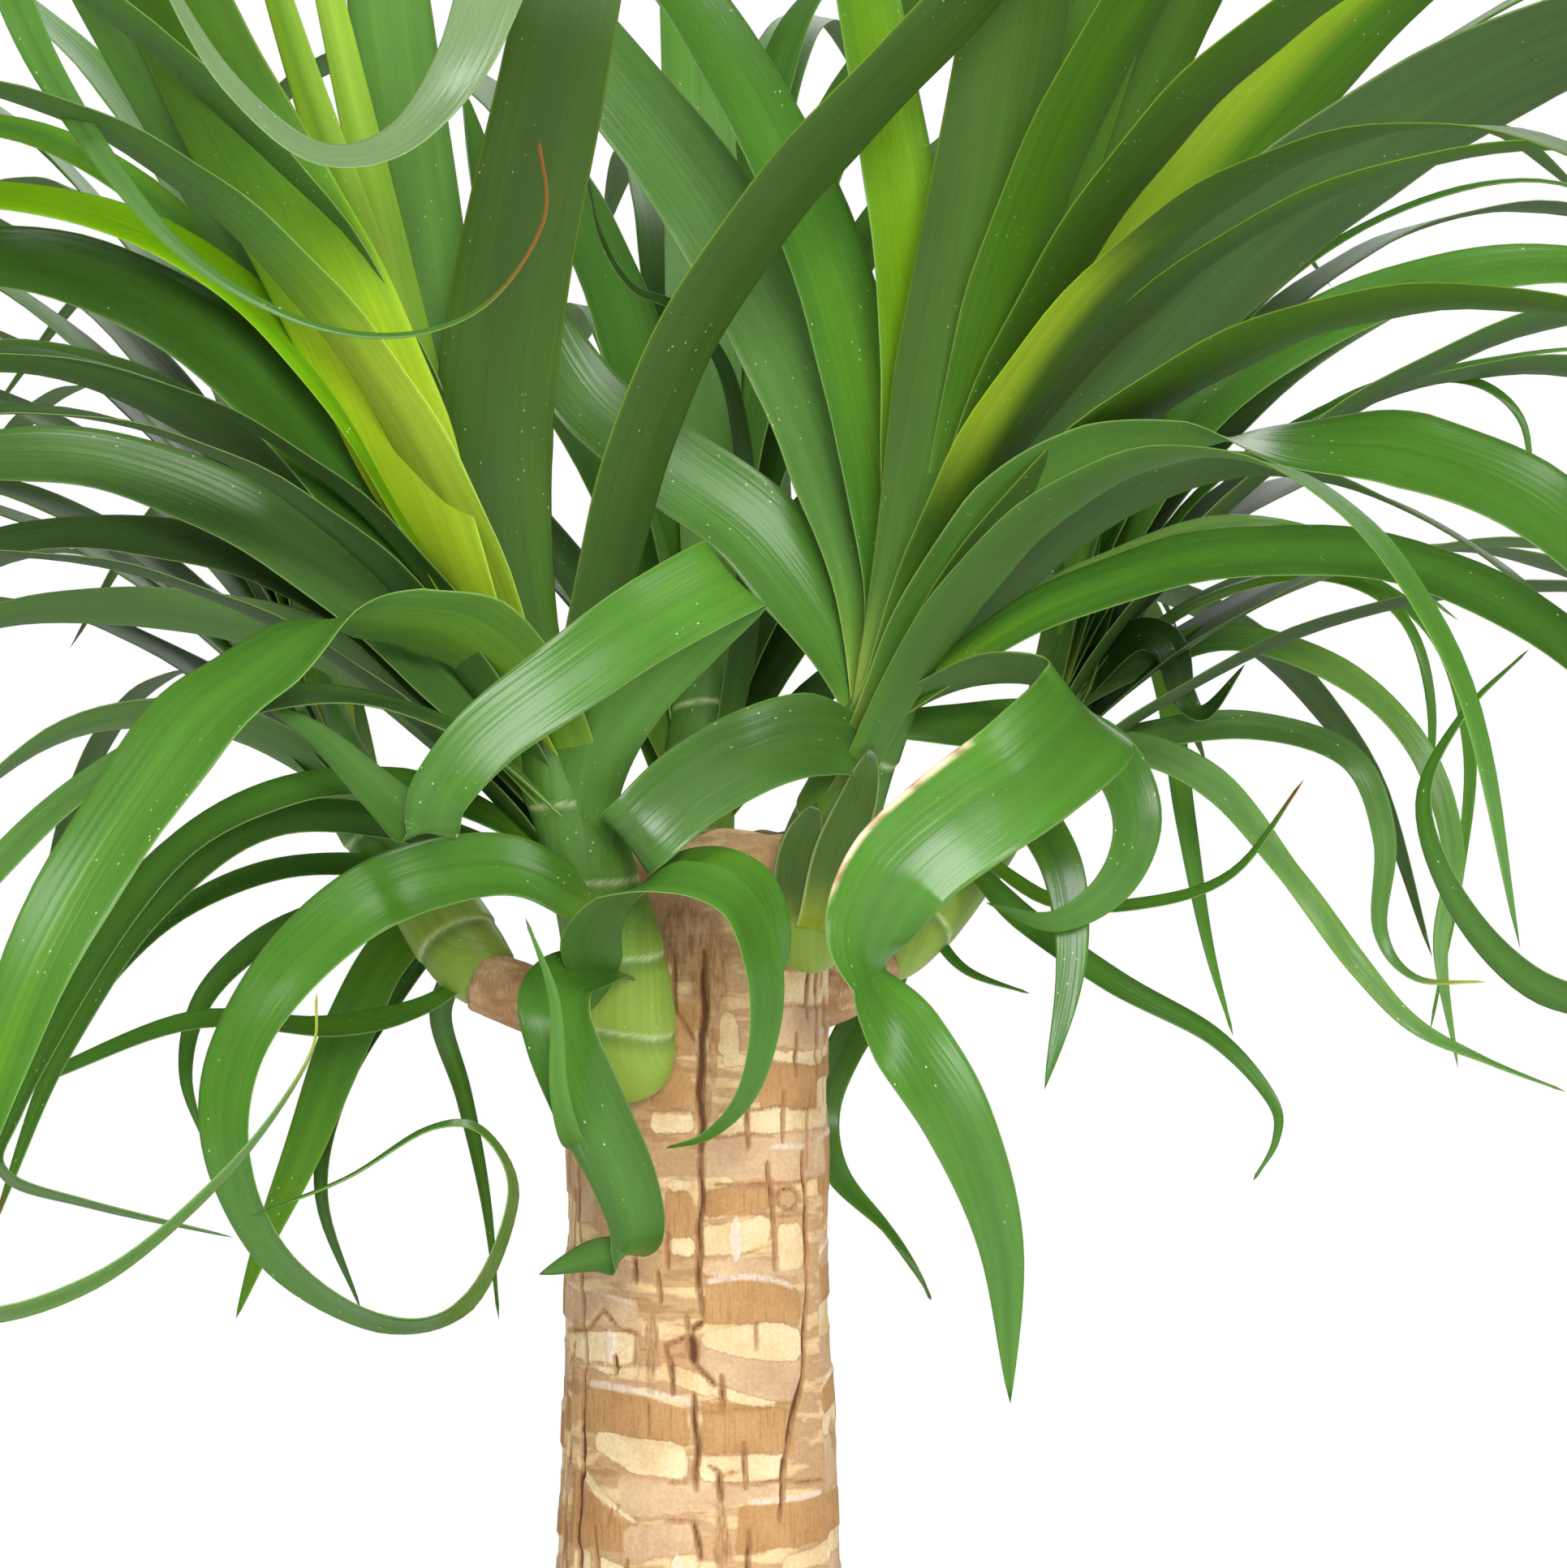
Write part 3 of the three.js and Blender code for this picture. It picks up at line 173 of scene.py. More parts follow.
BACK_LEFT = [
  ["low narrow", 5, 2, [-55, 30, 494, -60], [-72, 30, 501, -58], [-96, 26, 500, -55],
    [-119, 18, 489, -50], [-138, 9, 467, -45], [-150, 2, 440, -44]],
  ["hook", 5, 2, [-59, 32, 490, -60], [-77, 34, 492, -50], [-97, 34, 485, -41],
    [-111, 31, 472, -34], [-115, 29, 455, -30], [-110, 27, 438, -30]],
  ["long narrow", 4, 2, [-49, 22, 479, -60], [-62, 18, 470, -52], [-82, 8, 466, -50],
    [-110, -5, 468, -50], [-140, -13, 457, -48], [-170, -18, 442, -44]],
  ["hanging old", 7.5, 2.4, [-58, 34, 488, -50], [-69, 38, 482, -40], [-78, 38, 466, -30],
    [-88, 35, 440, -28], [-98, 32, 416, -35], [-104, 31, 400, -40]],
  ["hanging thin", 4, 2, [-57, 42, 486, -50], [-68, 50, 474, -44], [-82, 52, 450, -39],
    [-86, 52, 426, -35], [-77, 52, 400, -35]],
  ["far tip", 3, 1.6, [-53, 42, 481, -20], [-59, 50, 468, 0], [-54, 55, 449, 22],
    [-49, 56, 425, 25], [-46, 56, 398, 25]],
  ["dull left", 7, 2.4, [-62, 36, 503, -130], [-83, 40, 522, -130], [-114, 45, 535, -129],
    [-147, 46, 530, -112], [-176, 42, 504, -82], [-188, 38, 474, -72]],
  ["broad low", 8, 2.4, [-55, 26, 494, -110], [-68, 23, 507, -115], [-90, 17, 516, -117],
    [-112, 10, 510, -98], [-134, 0, 490, -72], [-151, -8, 458, -55]],
]
BACK_RIGHT = [
  ["curly top", 5.5, 1.8, [80, 46, 534, 60], [97, 51, 545, 55], [120, 56, 553, 47],
    [146, 60, 545, 40], [164, 62, 528, 34], [172, 62, 504, 12], [169, 62, 482, 0],
    [173, 62, 455, 20]],
  ["curly mid", 5, 1.7, [78, 40, 526, 60], [98, 44, 530, 48], [124, 48, 533, 38],
    [147, 48, 526, 30], [155, 48, 508, 6], [154, 48, 487, 18], [162, 48, 476, 50],
    [178, 48, 475, 60]],
  ["curly low", 5, 1.5, [76, 36, 525, 50], [96, 34, 528, 38], [115, 31, 520, 24],
    [132, 29, 500, 40], [147, 28, 480, 8], [160, 28, 466, 12], [176, 28, 458, 54],
    [194, 28, 451, 60]],
  ["plumb", 3.5, 2, [86, 56, 545, 60], [98, 61, 555, 50], [106, 66, 544, 20],
    [111, 68, 512, 10], [116, 68, 484, 14], [122, 68, 462, 20]],
  ["low hook", 4, 2, [58, 26, 503, 60], [72, 19, 490, 38], [92, 15, 476, 30],
    [114, 12, 464, 30], [127, 12, 450, 18], [128, 12, 441, 10], [123, 12, 432, 10]],
  ["rising tip", 2.6, 2, [60, 30, 505, 60], [78, 26, 494, 50], [98, 24, 493, 50],
    [119, 22, 500, 48], [135, 22, 521, 45]],
  ["dark hook", 6, 1.6, [86, 52, 541, 50], [98, 48, 553, 40], [106, 44, 551, 10],
    [109, 41, 540, 8], [114, 40, 536, 34], [123, 40, 547, 50]],
  ["pointed front", 5.8, 2.6, [52, 24, 497, 60], [61, 14, 512, 45], [70, 3, 516, 25],
    [79, -2, 504, 8], [82, -4, 489, 4], [81, -6, 474, 4], [76, -8, 453, 4]],
  ["thread one", 2.8, 2, [89, 62, 542, 70], [112, 73, 560, 65], [140, 81, 568, 58],
    [161, 85, 560, 42], [169, 86, 538, 26], [167, 86, 504, 20]],
  ["thread two", 3, 2, [89, 64, 543, 70], [118, 81, 564, 64], [146, 93, 570, 57],
    [170, 99, 556, 38], [179, 100, 530, 18], [177, 100, 500, 10], [170, 100, 462, 20]],
  ["arched up", 8.5, 2.6, [86, 50, 541, 60], [93, 50, 569, 50], [108, 44, 598, 41],
    [134, 38, 620, 37], [170, 33, 634, 36], [206, 29, 634, 38], [236, 25, 614, 43],
    [252, 22, 580, 46]],
  ["thin up", 2.6, 2, [87, 52, 542, 60], [101, 53, 588, 60], [126, 55, 628, 60],
    [160, 57, 651, 61], [196, 60, 657, 64], [228, 64, 638, 60]],
  ["thin level", 2.4, 2, [88, 54, 542, 60], [110, 56, 582, 60], [146, 58, 607, 60],
    [188, 61, 618, 60], [222, 64, 620, 60]],
  ["far curl", 4, 1.8, [89, 66, 543, 60], [119, 84, 585, 55], [150, 97, 609, 49],
    [176, 104, 615, 43], [192, 109, 606, 28], [195, 110, 584, 10]],
  ["behind trunk", 5, 1.6, [43, 30, 477, 0], [33, 38, 461, 0], [28, 40, 446, 2],
    [31, 36, 432, 15], [42, 33, 420, 52], [49, 32, 410, 30], [52, 32, 404, 20]],
  ["wisp", 2, 2, [51, 32, 494, 40], [53, 28, 486, 30], [60, 26, 478, 40], [74, 25, 473, 50]],
]
BACK = [
  ["dark curl", 4, 1.6, [3, 50, 521, -30], [10, 52, 556, -30], [10, 48, 588, -32],
    [6, 40, 612, -38], [-4, 32, 626, -46], [-15, 28, 631, -50], [-22, 28, 642, -44],
    [-25, 28, 656, -40]],
]

# Each head: its solid, its stem as x, y, z, radius, its leaves, and the rule for the leaves that fill
# its outer side: how many, the sector of directions they leave in, the lowest and the steepest rise
# in degrees, and a seed.
HEADS = [
    ("head_front_left", [[-14, -26, 458, 8], [-15, -35, 464, 10.5], [-17, -42, 482, 10.5],
        [-23, -50, 504, 9], [-32, -55, 528, 7.5], [-42, -58, 550, 5], [-48, -60, 564, 2.5]],
        FRONT_LEFT, (6, 190, 232, 52, 74, 21)),
    ("head_front_right", [[22, -18, 484, 7], [25, -25, 490, 9.5], [28, -30, 506, 9.5],
        [34, -34, 522, 8], [42, -35, 540, 6.5], [50, -34, 556, 4.5], [56, -33, 568, 2.5]],
        FRONT_RIGHT, (6, 300, 340, 50, 72, 12)),
    ("head_back_left", [[-44, 18, 474, 6], [-52, 24, 482, 9], [-62, 34, 496, 9],
        [-76, 42, 514, 7.5], [-86, 50, 534, 6], [-93, 57, 552, 3.5]],
        BACK_LEFT, (13, 112, 186, 38, 78, 13)),
    ("head_back_right", [[36, 17, 480, 6], [45, 24, 486, 8.5], [57, 33, 500, 9],
        [70, 42, 518, 8], [82, 51, 538, 6.5], [92, 60, 560, 3.5]],
        BACK_RIGHT, (12, -12, 64, 40, 78, 14)),
    ("head_back", [[-3, 22, 486, 7], [-3, 34, 490, 9.5], [-2, 46, 504, 9], [0, 56, 526, 8],
        [2, 66, 552, 6], [3, 73, 572, 3.5]],
        BACK, (16, 40, 140, 42, 80, 15)),
]

# How light and yellow a leaf is, from 0, deep green, to 1, the yellow-green of young growth. A leaf by
# rule is named for its head and its number there, and a drawn leaf that isn't named has DRAWN_TONE.
DRAWN_TONE = 0.4
TONES = {
    "long arch": 0.54, "hanging front": 0.37, "upturned": 0.42, "hoop": 0.46, "behind hoop": 0.46,
    "crossing": 0.17, "tall u curl": 0.34, "heart": 0.94, "east heart": 0.46, "pale inner": 0.72,
    "bright inner": 0.86, "upright inner": 0.42, "thin curl": 0.34, "west bright": 0.74,
    "west dark": 0.38, "west top": 0.5, "west dull": 0.34, "west mid": 0.38, "west low": 0.34,
    "west under": 0.3, "swoop": 0.42, "folded forward": 0.39, "left folded": 0.38, "glossy": 0.36,
    "wide left": 0.48, "arched left": 0.42, "bright side": 0.6, "tall front": 0.22,
    "tall second": 0.28, "tall dark": 0.36, "east wide": 0.2, "east return": 0.38, "east dull": 0.28,
    "east pale": 0.54, "right loop": 0.5, "low narrow": 0.5, "long narrow": 0.45, "hanging old": 0.6,
    "hanging thin": 0.3, "dull left": 0.36, "broad low": 0.42, "curly top": 0.5, "curly mid": 0.46,
    "curly low": 0.52, "plumb": 0.5, "rising tip": 0.5, "dark hook": 0.14, "pointed front": 0.45,
    "thread one": 0.5, "thread two": 0.5, "arched up": 0.38, "far curl": 0.44, "dark curl": 0.2,
    "head_front_left 3": 0.9, "head_front_left 4": 0.44, "head_front_left 5": 0.56,
    "head_front_right 0": 0.44, "head_front_right 4": 0.36,
}
# Where along a leaf a rusty or a yellow tip starts.
RUSTY_TIPS = {"thin curl": 0.9, "low second": 0.94, "rising tip": 0.9, "long narrow": 0.93}
YELLOW_TIPS = {"swoop": 0.93, "curly mid": 0.88}
# Leaves that are lighter at the root than further up: where they turn, and the tone there.
TURNING = {
    "heart": (0.22, 0.48, 0.28), "head_front_left 3": (0.28, 0.5, 0.28),
    "tall u curl": (0.12, 0.4, 0.02), "west dark": (0.1, 0.4, 0.34),
}
# Leaves whose width changes further along them: where, and to what share.
RESHAPED = {
    "tall u curl": (0.5, 0.75, 0.8), "heart": (0.1, 0.3, 1.18), "bright inner": (0.1, 0.3, 0.8),
    "thin curl": (0.6, 0.85, 0.5), "east heart": (0.12, 0.4, 1.5), "tall dark": (0.2, 0.5, 1.25),
    "east wide": (0.2, 0.45, 1.15), "head_front_right 4": (0.25, 0.55, 1.3),
}
# A bright band down one side: which side, and from where to where along the leaf.
BRIGHT_SIDE = {"head_front_right 2": (-1, 0.16, 0.44), "east heart": (-1, 0.1, 1.2)}
# Leaves with a painted sheen, a pale grey-green mixed into their colour where their shine would be, and
# how much of it.
PAINTED_SHEEN = {
    "glossy": 0.04, "left folded": 0.04, "wide left": 0.12, "west mid": 0.08, "west low": 0.1,
    "west under": 0.1, "east pale": 0.14, "curly top": 0.14, "curly mid": 0.1, "curly low": 0.16,
    "east wide": 0.03, "dull left": 0.1, "swoop": 0.12,
}
# Leaves whose far part is painted pale, as light shining through it from behind: where they turn, and how
# far.
PAINTED_BACKLIT_ENDS = {"tall u curl": (0.45, 0.56, 0.42)}
# Leaves that light shines through, whose green has less blue in it away from the root.
LIT_THROUGH = ["tall u curl", "crossing", "tall front", "tall second", "tall dark", "heart",
    "east heart", "west bright"] + ["head_front_right %d" % i for i in range(1, 6)]
LESS_BLUE = np.array([0.95, 1.0, 0.2])
# A dry streak down one margin: which one, and from where to where along the leaf.
DRY_MARGIN = {"folded forward": (-1, 0.44, 0.56)}

BLADE_THICKNESS = 1.1
MARGIN_THICKNESS = 0.3
THICKEST = 0.7  # share of the half width
BLADE_CHANNEL = 0.16
CHANNEL_POWER = 1.7
BLADE_ROOT = 0.5
BLADE_ROOT_LENGTH = 0.22
TIP_THINNING = 0.4
TIP_FLATTENING = 0.6
TIP_HALF_WIDTH = 0.4
TAPER_POWER = 0.85
ROOT_DROP = 7.5
STATIONS = 8  # of a blade, for each point of its route
HALF_COLUMNS = [0, 0.12, 0.36, 0.62, 0.85, 0.96, 1]  # of a blade, from its middle to a margin
MARGIN_RIPPLE = 0.035
RIPPLE_LENGTH = 34
FAR_RIPPLE = 1.23  # the other margin's ripples are that much longer
DRAWN_GLOSS = 1.0

FILL_LENGTH = 330
FILL_HALF_WIDTH = 9.5
FILL_BEND = 128
FILL_BEND_POWER = 1.25
FILL_TWIST = 60
FILL_SWING = 0.35
FILL_TAPER = 2.2
FILL_POINTS = 7
FILL_GLOSS = 0.55
FILL_TONES = (0.2, 0.42)  # of the oldest and of the youngest leaf
GOLDEN_TURN = 0.618034


def linear(red, green, blue):
    """A colour as eyes name it, 0 to 255, in the linear light that shaders work with."""
    share = np.array([red, green, blue]) / 255
    return np.where(share <= 0.04045, share / 12.92, ((share + 0.055) / 1.055) ** 2.4)


TONE_STEPS = [0, 0.25, 0.5, 0.75, 1]
TONE_COLOURS = np.array([linear(34, 60, 20), linear(51, 84, 25), linear(72, 120, 38),
    linear(106, 148, 18), linear(168, 194, 50)])
UNDERSIDE = linear(78, 106, 46)
# The pale grey-green of painted sheen, and of painted light through a leaf from behind.
PAINTED_LIGHT_GREEN = linear(150, 178, 128)
PALE_ROOT = linear(164, 184, 72)
MARGIN = linear(170, 190, 112)
RUST = linear(122, 80, 30)
YELLOW = linear(190, 186, 44)
STRAW = linear(232, 206, 168)
STEM_LOW = linear(132, 160, 60)
STEM_HIGH = linear(74, 116, 40)
STEM_RING = linear(208, 222, 164)
SHEATH_LOW = linear(158, 176, 44)
SHEATH_HIGH = linear(60, 88, 20)
PLAIN_TIP = 0.985  # where along a leaf its thin brown tip starts
NEXT_FIBRES = 37.0  # from one leaf's pattern to the next one's


def unit(rows):
    """Rows at length 1."""
    return rows / np.linalg.norm(rows, axis=-1, keepdims=True)


def smooth(low, high, values):
    """0 below low, 1 above high, and an even S between: 3t^2 - 2t^3 of the share t of the way."""
    t = np.clip((values - low) / (high - low), 0, 1)
    return t * t * (3 - 2 * t)


def mixed(a, b, share):
    """Colours or points a share of the way from a to b."""
    return a + (b - a) * np.asarray(share)[..., None]


def evenly(rows, places):
    """Rows read off at places counted in rows, straight between one row and the next."""
    cell = np.minimum(places.astype(int), len(rows) - 2)
    return mixed(rows[cell], rows[cell + 1], places - cell)


def spline(rows, places):
    """A smooth line through rows, read off at places counted in rows, and its slope there: a cubic on
    each stretch whose slope at a row is half the step between that row's neighbours."""
    whole = np.vstack([2 * rows[0] - rows[1], rows, 2 * rows[-1] - rows[-2]])
    cell = np.minimum(places.astype(int), len(rows) - 2)
    f = (places - cell)[:, None]
    p0, p1, p2, p3 = (whole[cell + k] for k in range(4))
    m1, m2 = (p2 - p0) / 2, (p3 - p1) / 2
    line = p1 + (p2 - p1) * (3 - 2 * f) * f * f + m1 * (f**3 - 2 * f * f + f) + m2 * (f**3 - f * f)
    slope = (p2 - p1) * (6 * f - 6 * f * f) + m1 * (3 * f * f - 4 * f + 1) + m2 * (3 * f * f - 2 * f)
    return line, slope


def gone_along(points):
    """How far along a line each of its points is."""
    return np.concatenate([[0], np.cumsum(np.linalg.norm(np.diff(points, axis=0), axis=1))])


def tube_rings(line, radius, angle):
    """Rings about a line: the radius times the cosine of the angle goes to the right, square to the
    line and to the view, and times its sine along what is square to both."""
    along = unit(np.gradient(line, axis=0))
    right = unit(np.cross(VIEW, along))
    front = np.cross(along, right)
    across, deep = (radius * np.cos(angle))[..., None], (radius * np.sin(angle))[..., None]
    return line[:, None] + right[:, None] * across + front[:, None] * deep


def full_turn(count):
    """Angles evenly round a full turn."""
    return np.linspace(0, 2 * np.pi, count, endpoint=False)


def draws(seed):
    """Seeded draws between 0 and 1 by 32-bit mixing, the same ones that the solids were made with."""
    state = seed
    whole = 0xFFFFFFFF
    while True:
        state = (state + 0x6D2B79F5) & whole
        mix = ((state ^ (state >> 15)) * (1 | state)) & whole
        mix = ((mix + (((mix ^ (mix >> 7)) * (61 | mix)) & whole)) & whole) ^ mix
        yield ((mix ^ (mix >> 14)) & whole) / 4294967296


def added(name, data):
    """A new object of the scene."""
    obj = bpy.data.objects.new(name, data)
    bpy.context.collection.objects.link(obj)
    return obj


class Shape:
    """Closed skins gathered for one piece: points, faces and what each point carries."""

    def __init__(self):
        self.points, self.faces, self.carried, self.count = [], [], {}, 0

    def skin(self, rings, start, end, **carried):
        """Rings is rows x sides x 3. Neighbouring rings are joined by quads, and the first and last
        one by a fan to a point. The faces are turned to look outwards by the sign of the volume that
        they enclose, a sixth of the sum of each triangle's triple product."""
        rows, sides = rings.shape[:2]
        at = np.arange(rows * sides).reshape(rows, sides)
        side = np.roll(at, -1, axis=1)
        quads = np.stack([at[:-1], side[:-1], side[1:], at[1:]], axis=-1).reshape(-1, 4)
        first, last = rows * sides, rows * sides + 1
        fan = [np.stack([side[0], at[0], np.full(sides, first)], axis=-1),
            np.stack([at[-1], side[-1], np.full(sides, last)], axis=-1)]
        points = np.vstack([rings.reshape(-1, 3), start, end])
        triangles = np.vstack([quads[:, :3], quads[:, [0, 2, 3]], *fan])
        a, b, c = (points[triangles[:, k]] - points.mean(0) for k in range(3))
        turned = -1 if np.einsum("ij,ij->", np.cross(a, b), c) < 0 else 1
        self.points.append(points)
        self.faces += [part[:, ::turned] + self.count for part in (quads, *fan)]
        self.count += len(points)
        for name, values in carried.items():
            wide = values.shape[2:]
            flat = values.reshape(rows * sides, *wide)
            ends = [values[0].mean(0)[None], values[-1].mean(0)[None]]
            self.carried.setdefault(name, []).append(np.concatenate([flat, *ends]))

    def mesh(self, name):
        """The skins as one mesh, quads first, with what each point carries as attributes."""
        mesh = bpy.data.meshes.new(name)
        points = np.vstack(self.points) * MM
        faces = [np.vstack([part for part in self.faces if part.shape[1] == count]) for count in (4, 3)]
        sizes = np.concatenate([np.full(len(part), part.shape[1]) for part in faces])
        mesh.vertices.add(len(points))
        mesh.vertices.foreach_set("co", points.astype(np.float32).ravel())
        mesh.loops.add(sizes.sum())
        corners = np.concatenate([part.ravel() for part in faces])
        mesh.loops.foreach_set("vertex_index", corners.astype(np.int32))
        mesh.polygons.add(len(sizes))
        mesh.polygons.foreach_set("loop_start", (np.cumsum(sizes) - sizes).astype(np.int32))
        mesh.polygons.foreach_set("use_smooth", np.ones(len(sizes), bool))
        mesh.update(calc_edges=True)
        mesh.validate()
        for key, values in self.carried.items():
            kept = np.concatenate(values)
            kind, field = ("FLOAT_VECTOR", "vector") if kept.ndim == 2 else ("FLOAT", "value")
            layer = mesh.attributes.new(key, kind, "POINT")
            layer.data.foreach_set(field, kept.astype(np.float32).ravel())
        return mesh

    def piece(self, name, finish, slot, *nodes):
        """The finished piece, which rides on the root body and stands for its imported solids."""
        obj = added(name, self.mesh(name))
        obj.data.materials.append(finish)
        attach(obj, "root")
        if nodes:
            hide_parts(*nodes)
        return obj


# Leaves.


def across_at(row, along):
    """The direction across a blade: level and square to its route, then turned about the route by the
    row's turn; or the row's heading in the upright plane."""
    if len(row) > 4:
        angle = math.radians(row[4])
        return np.array([math.cos(angle), 0, math.sin(angle)])
    level = unit(np.cross(along, VIEW))
    raised = np.cross(level, along)
    angle = math.radians(row[3])
    return level * math.cos(angle) + raised * math.sin(angle)


def axis_point(stem, height):
    """The point of a stem's middle line at a height."""
    rows = np.array(stem)
    level = min(max(height, rows[1, 2]), rows[-2, 2])
    return np.array([np.interp(level, rows[:, 2], rows[:, k]) for k in (0, 1)] + [level])


def drawn_leaf(name, half, taper, *rows, stem):
    """A leaf from its table row, with its root set inside the stem."""
    points = np.array([row[:3] for row in rows], float)
    whole = np.vstack([points[:1], points, points[-1:]])
    alongs = unit(whole[2:] - whole[:-2])
    across = [across_at(row, along) for row, along in zip(rows, alongs)]
    points = np.vstack([axis_point(stem, points[0, 2] - ROOT_DROP), points])
    return {"name": name, "half": half, "taper": taper, "points": points,
        "across": np.array([across[0], *across]), "tone": DRAWN_TONE, "gloss": DRAWN_GLOSS}


def rule_leaves(node, stem, count, start, stop, low, high, seed):
    """Leaves by rule: each leaves the stem in its own direction, steep at first, and its rise drops
    with the power 1.25 of the share of its length. Lower leaves are older and bend further."""
    draw = draws(seed)
    root_low, root_high = stem[2][2], stem[-2][2]
    step_count = FILL_POINTS - 1
    for i in range(count):
        age = 1 - i / (count - 1)
        turned = (i * GOLDEN_TURN) % 1
        azimuth = math.radians(start + (stop - start) * (0.8 * turned + 0.2 * next(draw)))
        steep = low + (high - low) * (1 - age) + 6 * next(draw) - 3
        length = FILL_LENGTH * (0.82 + 0.3 * next(draw))
        bend = FILL_BEND * (0.72 + 0.25 * age + 0.16 * next(draw))
        twist = FILL_TWIST * (next(draw) - 0.5)
        half = FILL_HALF_WIDTH * (0.75 + 0.45 * next(draw))
        s = np.arange(FILL_POINTS) / step_count
        lift = np.radians(steep - bend * s**FILL_BEND_POWER)
        swing = azimuth + FILL_SWING * (turned - 0.5) * s * s
        roll = np.radians(twist * s)[:, None]
        level = np.stack([-np.sin(swing), np.cos(swing), 0 * s], axis=-1)
        flat = np.cos(lift)
        out = np.stack([np.cos(swing) * flat, np.sin(swing) * flat, np.sin(lift)], axis=-1)
        root = axis_point(stem, root_low + (root_high - root_low) * (1 - age))
        points = root + np.vstack([np.zeros(3), np.cumsum(out[:-1] * length / step_count, axis=0)])
        yield {"name": "%s %d" % (node, i), "half": half, "taper": FILL_TAPER, "points": points,
            "across": level * np.cos(roll) + UP * np.sin(roll),
            "tone": np.interp(1 - age, (0, 1), FILL_TONES), "gloss": FILL_GLOSS}


def followed(points, across):
    """A smooth route through its points. The width's direction goes evenly from point to point and is
    kept square to the route."""
    places = np.arange((len(points) - 1) * STATIONS + 1) / STATIONS
    at, slope = spline(points, places)
    along, wide = unit(slope), evenly(across, places)
    wide = unit(wide - along * np.sum(wide * along, axis=1, keepdims=True))
    return at, along, wide


def blade(shape, leaf, number):
    """A thin channel along a route. Its half width is the leaf's, times a rise from one half over the
    root, times (1 - share^taper)^0.85, and for some leaves times a change further along. At u of that
    half width the middle surface stands up by u^1.7 of the channel's depth, plus a sine ripple that
    grows with u^2, and half the thickness falls to the margin's with u^2."""
    at, along, wide = followed(leaf["points"], leaf["across"])
    gone = gone_along(at)
    share, gone = gone[:-1] / gone[-1], gone[:-1]
    tip, at, along, wide = at[-1], at[:-1], along[:-1], wide[:-1]
    root = BLADE_ROOT + (1 - BLADE_ROOT) * np.minimum(1, share / BLADE_ROOT_LENGTH)
    half = leaf["half"] * root * (1 - share ** leaf["taper"]) ** TAPER_POWER
    if leaf["name"] in RESHAPED:
        first, last, changed = RESHAPED[leaf["name"]]
        half = half * (1 + (changed - 1) * smooth(first, last, share))
    half = np.maximum(half, TIP_HALF_WIDTH)[:, None]
    columns = np.array(HALF_COLUMNS)
    top = np.concatenate([-columns[:0:-1], columns])
    u = np.concatenate([top, top[-2:0:-1]])
    upper = np.concatenate([np.ones(len(top)), -np.ones(len(top) - 2)])
    upper[[0, len(top) - 1]] = 0
    phase = np.random.default_rng(number).uniform(0, 2 * np.pi, 3)
    turns = 2 * np.pi * gone[:, None] / RIPPLE_LENGTH
    ripple = np.sin(turns + phase[0]) * (u > 0) + np.sin(turns / FAR_RIPPLE + phase[1]) * (u < 0)
    lift = BLADE_CHANNEL * half * (1 - TIP_FLATTENING * share[:, None]) * np.abs(u) ** CHANNEL_POWER
    lift = lift + MARGIN_RIPPLE * half * ripple * u * u
    thick = BLADE_THICKNESS * (1 - TIP_THINNING * share)[:, None]
    thick = MARGIN_THICKNESS + (thick - MARGIN_THICKNESS) * (1 - u * u)
    thick = np.minimum(thick, THICKEST * half)
    face = np.cross(along, wide)
    rings = at[:, None] + wide[:, None] * (half * u)[..., None]
    rings = rings + face[:, None] * (lift + upper * thick / 2)[..., None]
    tint = leaf_tint(leaf, share[:, None], u, upper, phase[2])
    fibre = np.stack(np.broadcast_arrays(half * u, gone[:, None], NEXT_FIBRES * number), axis=-1)
    gloss = np.broadcast_to(np.where(upper > 0, leaf["gloss"], 0.0), lift.shape)
    shape.skin(rings, at[0], tip, tint=tint, fibre=fibre, gloss=gloss)


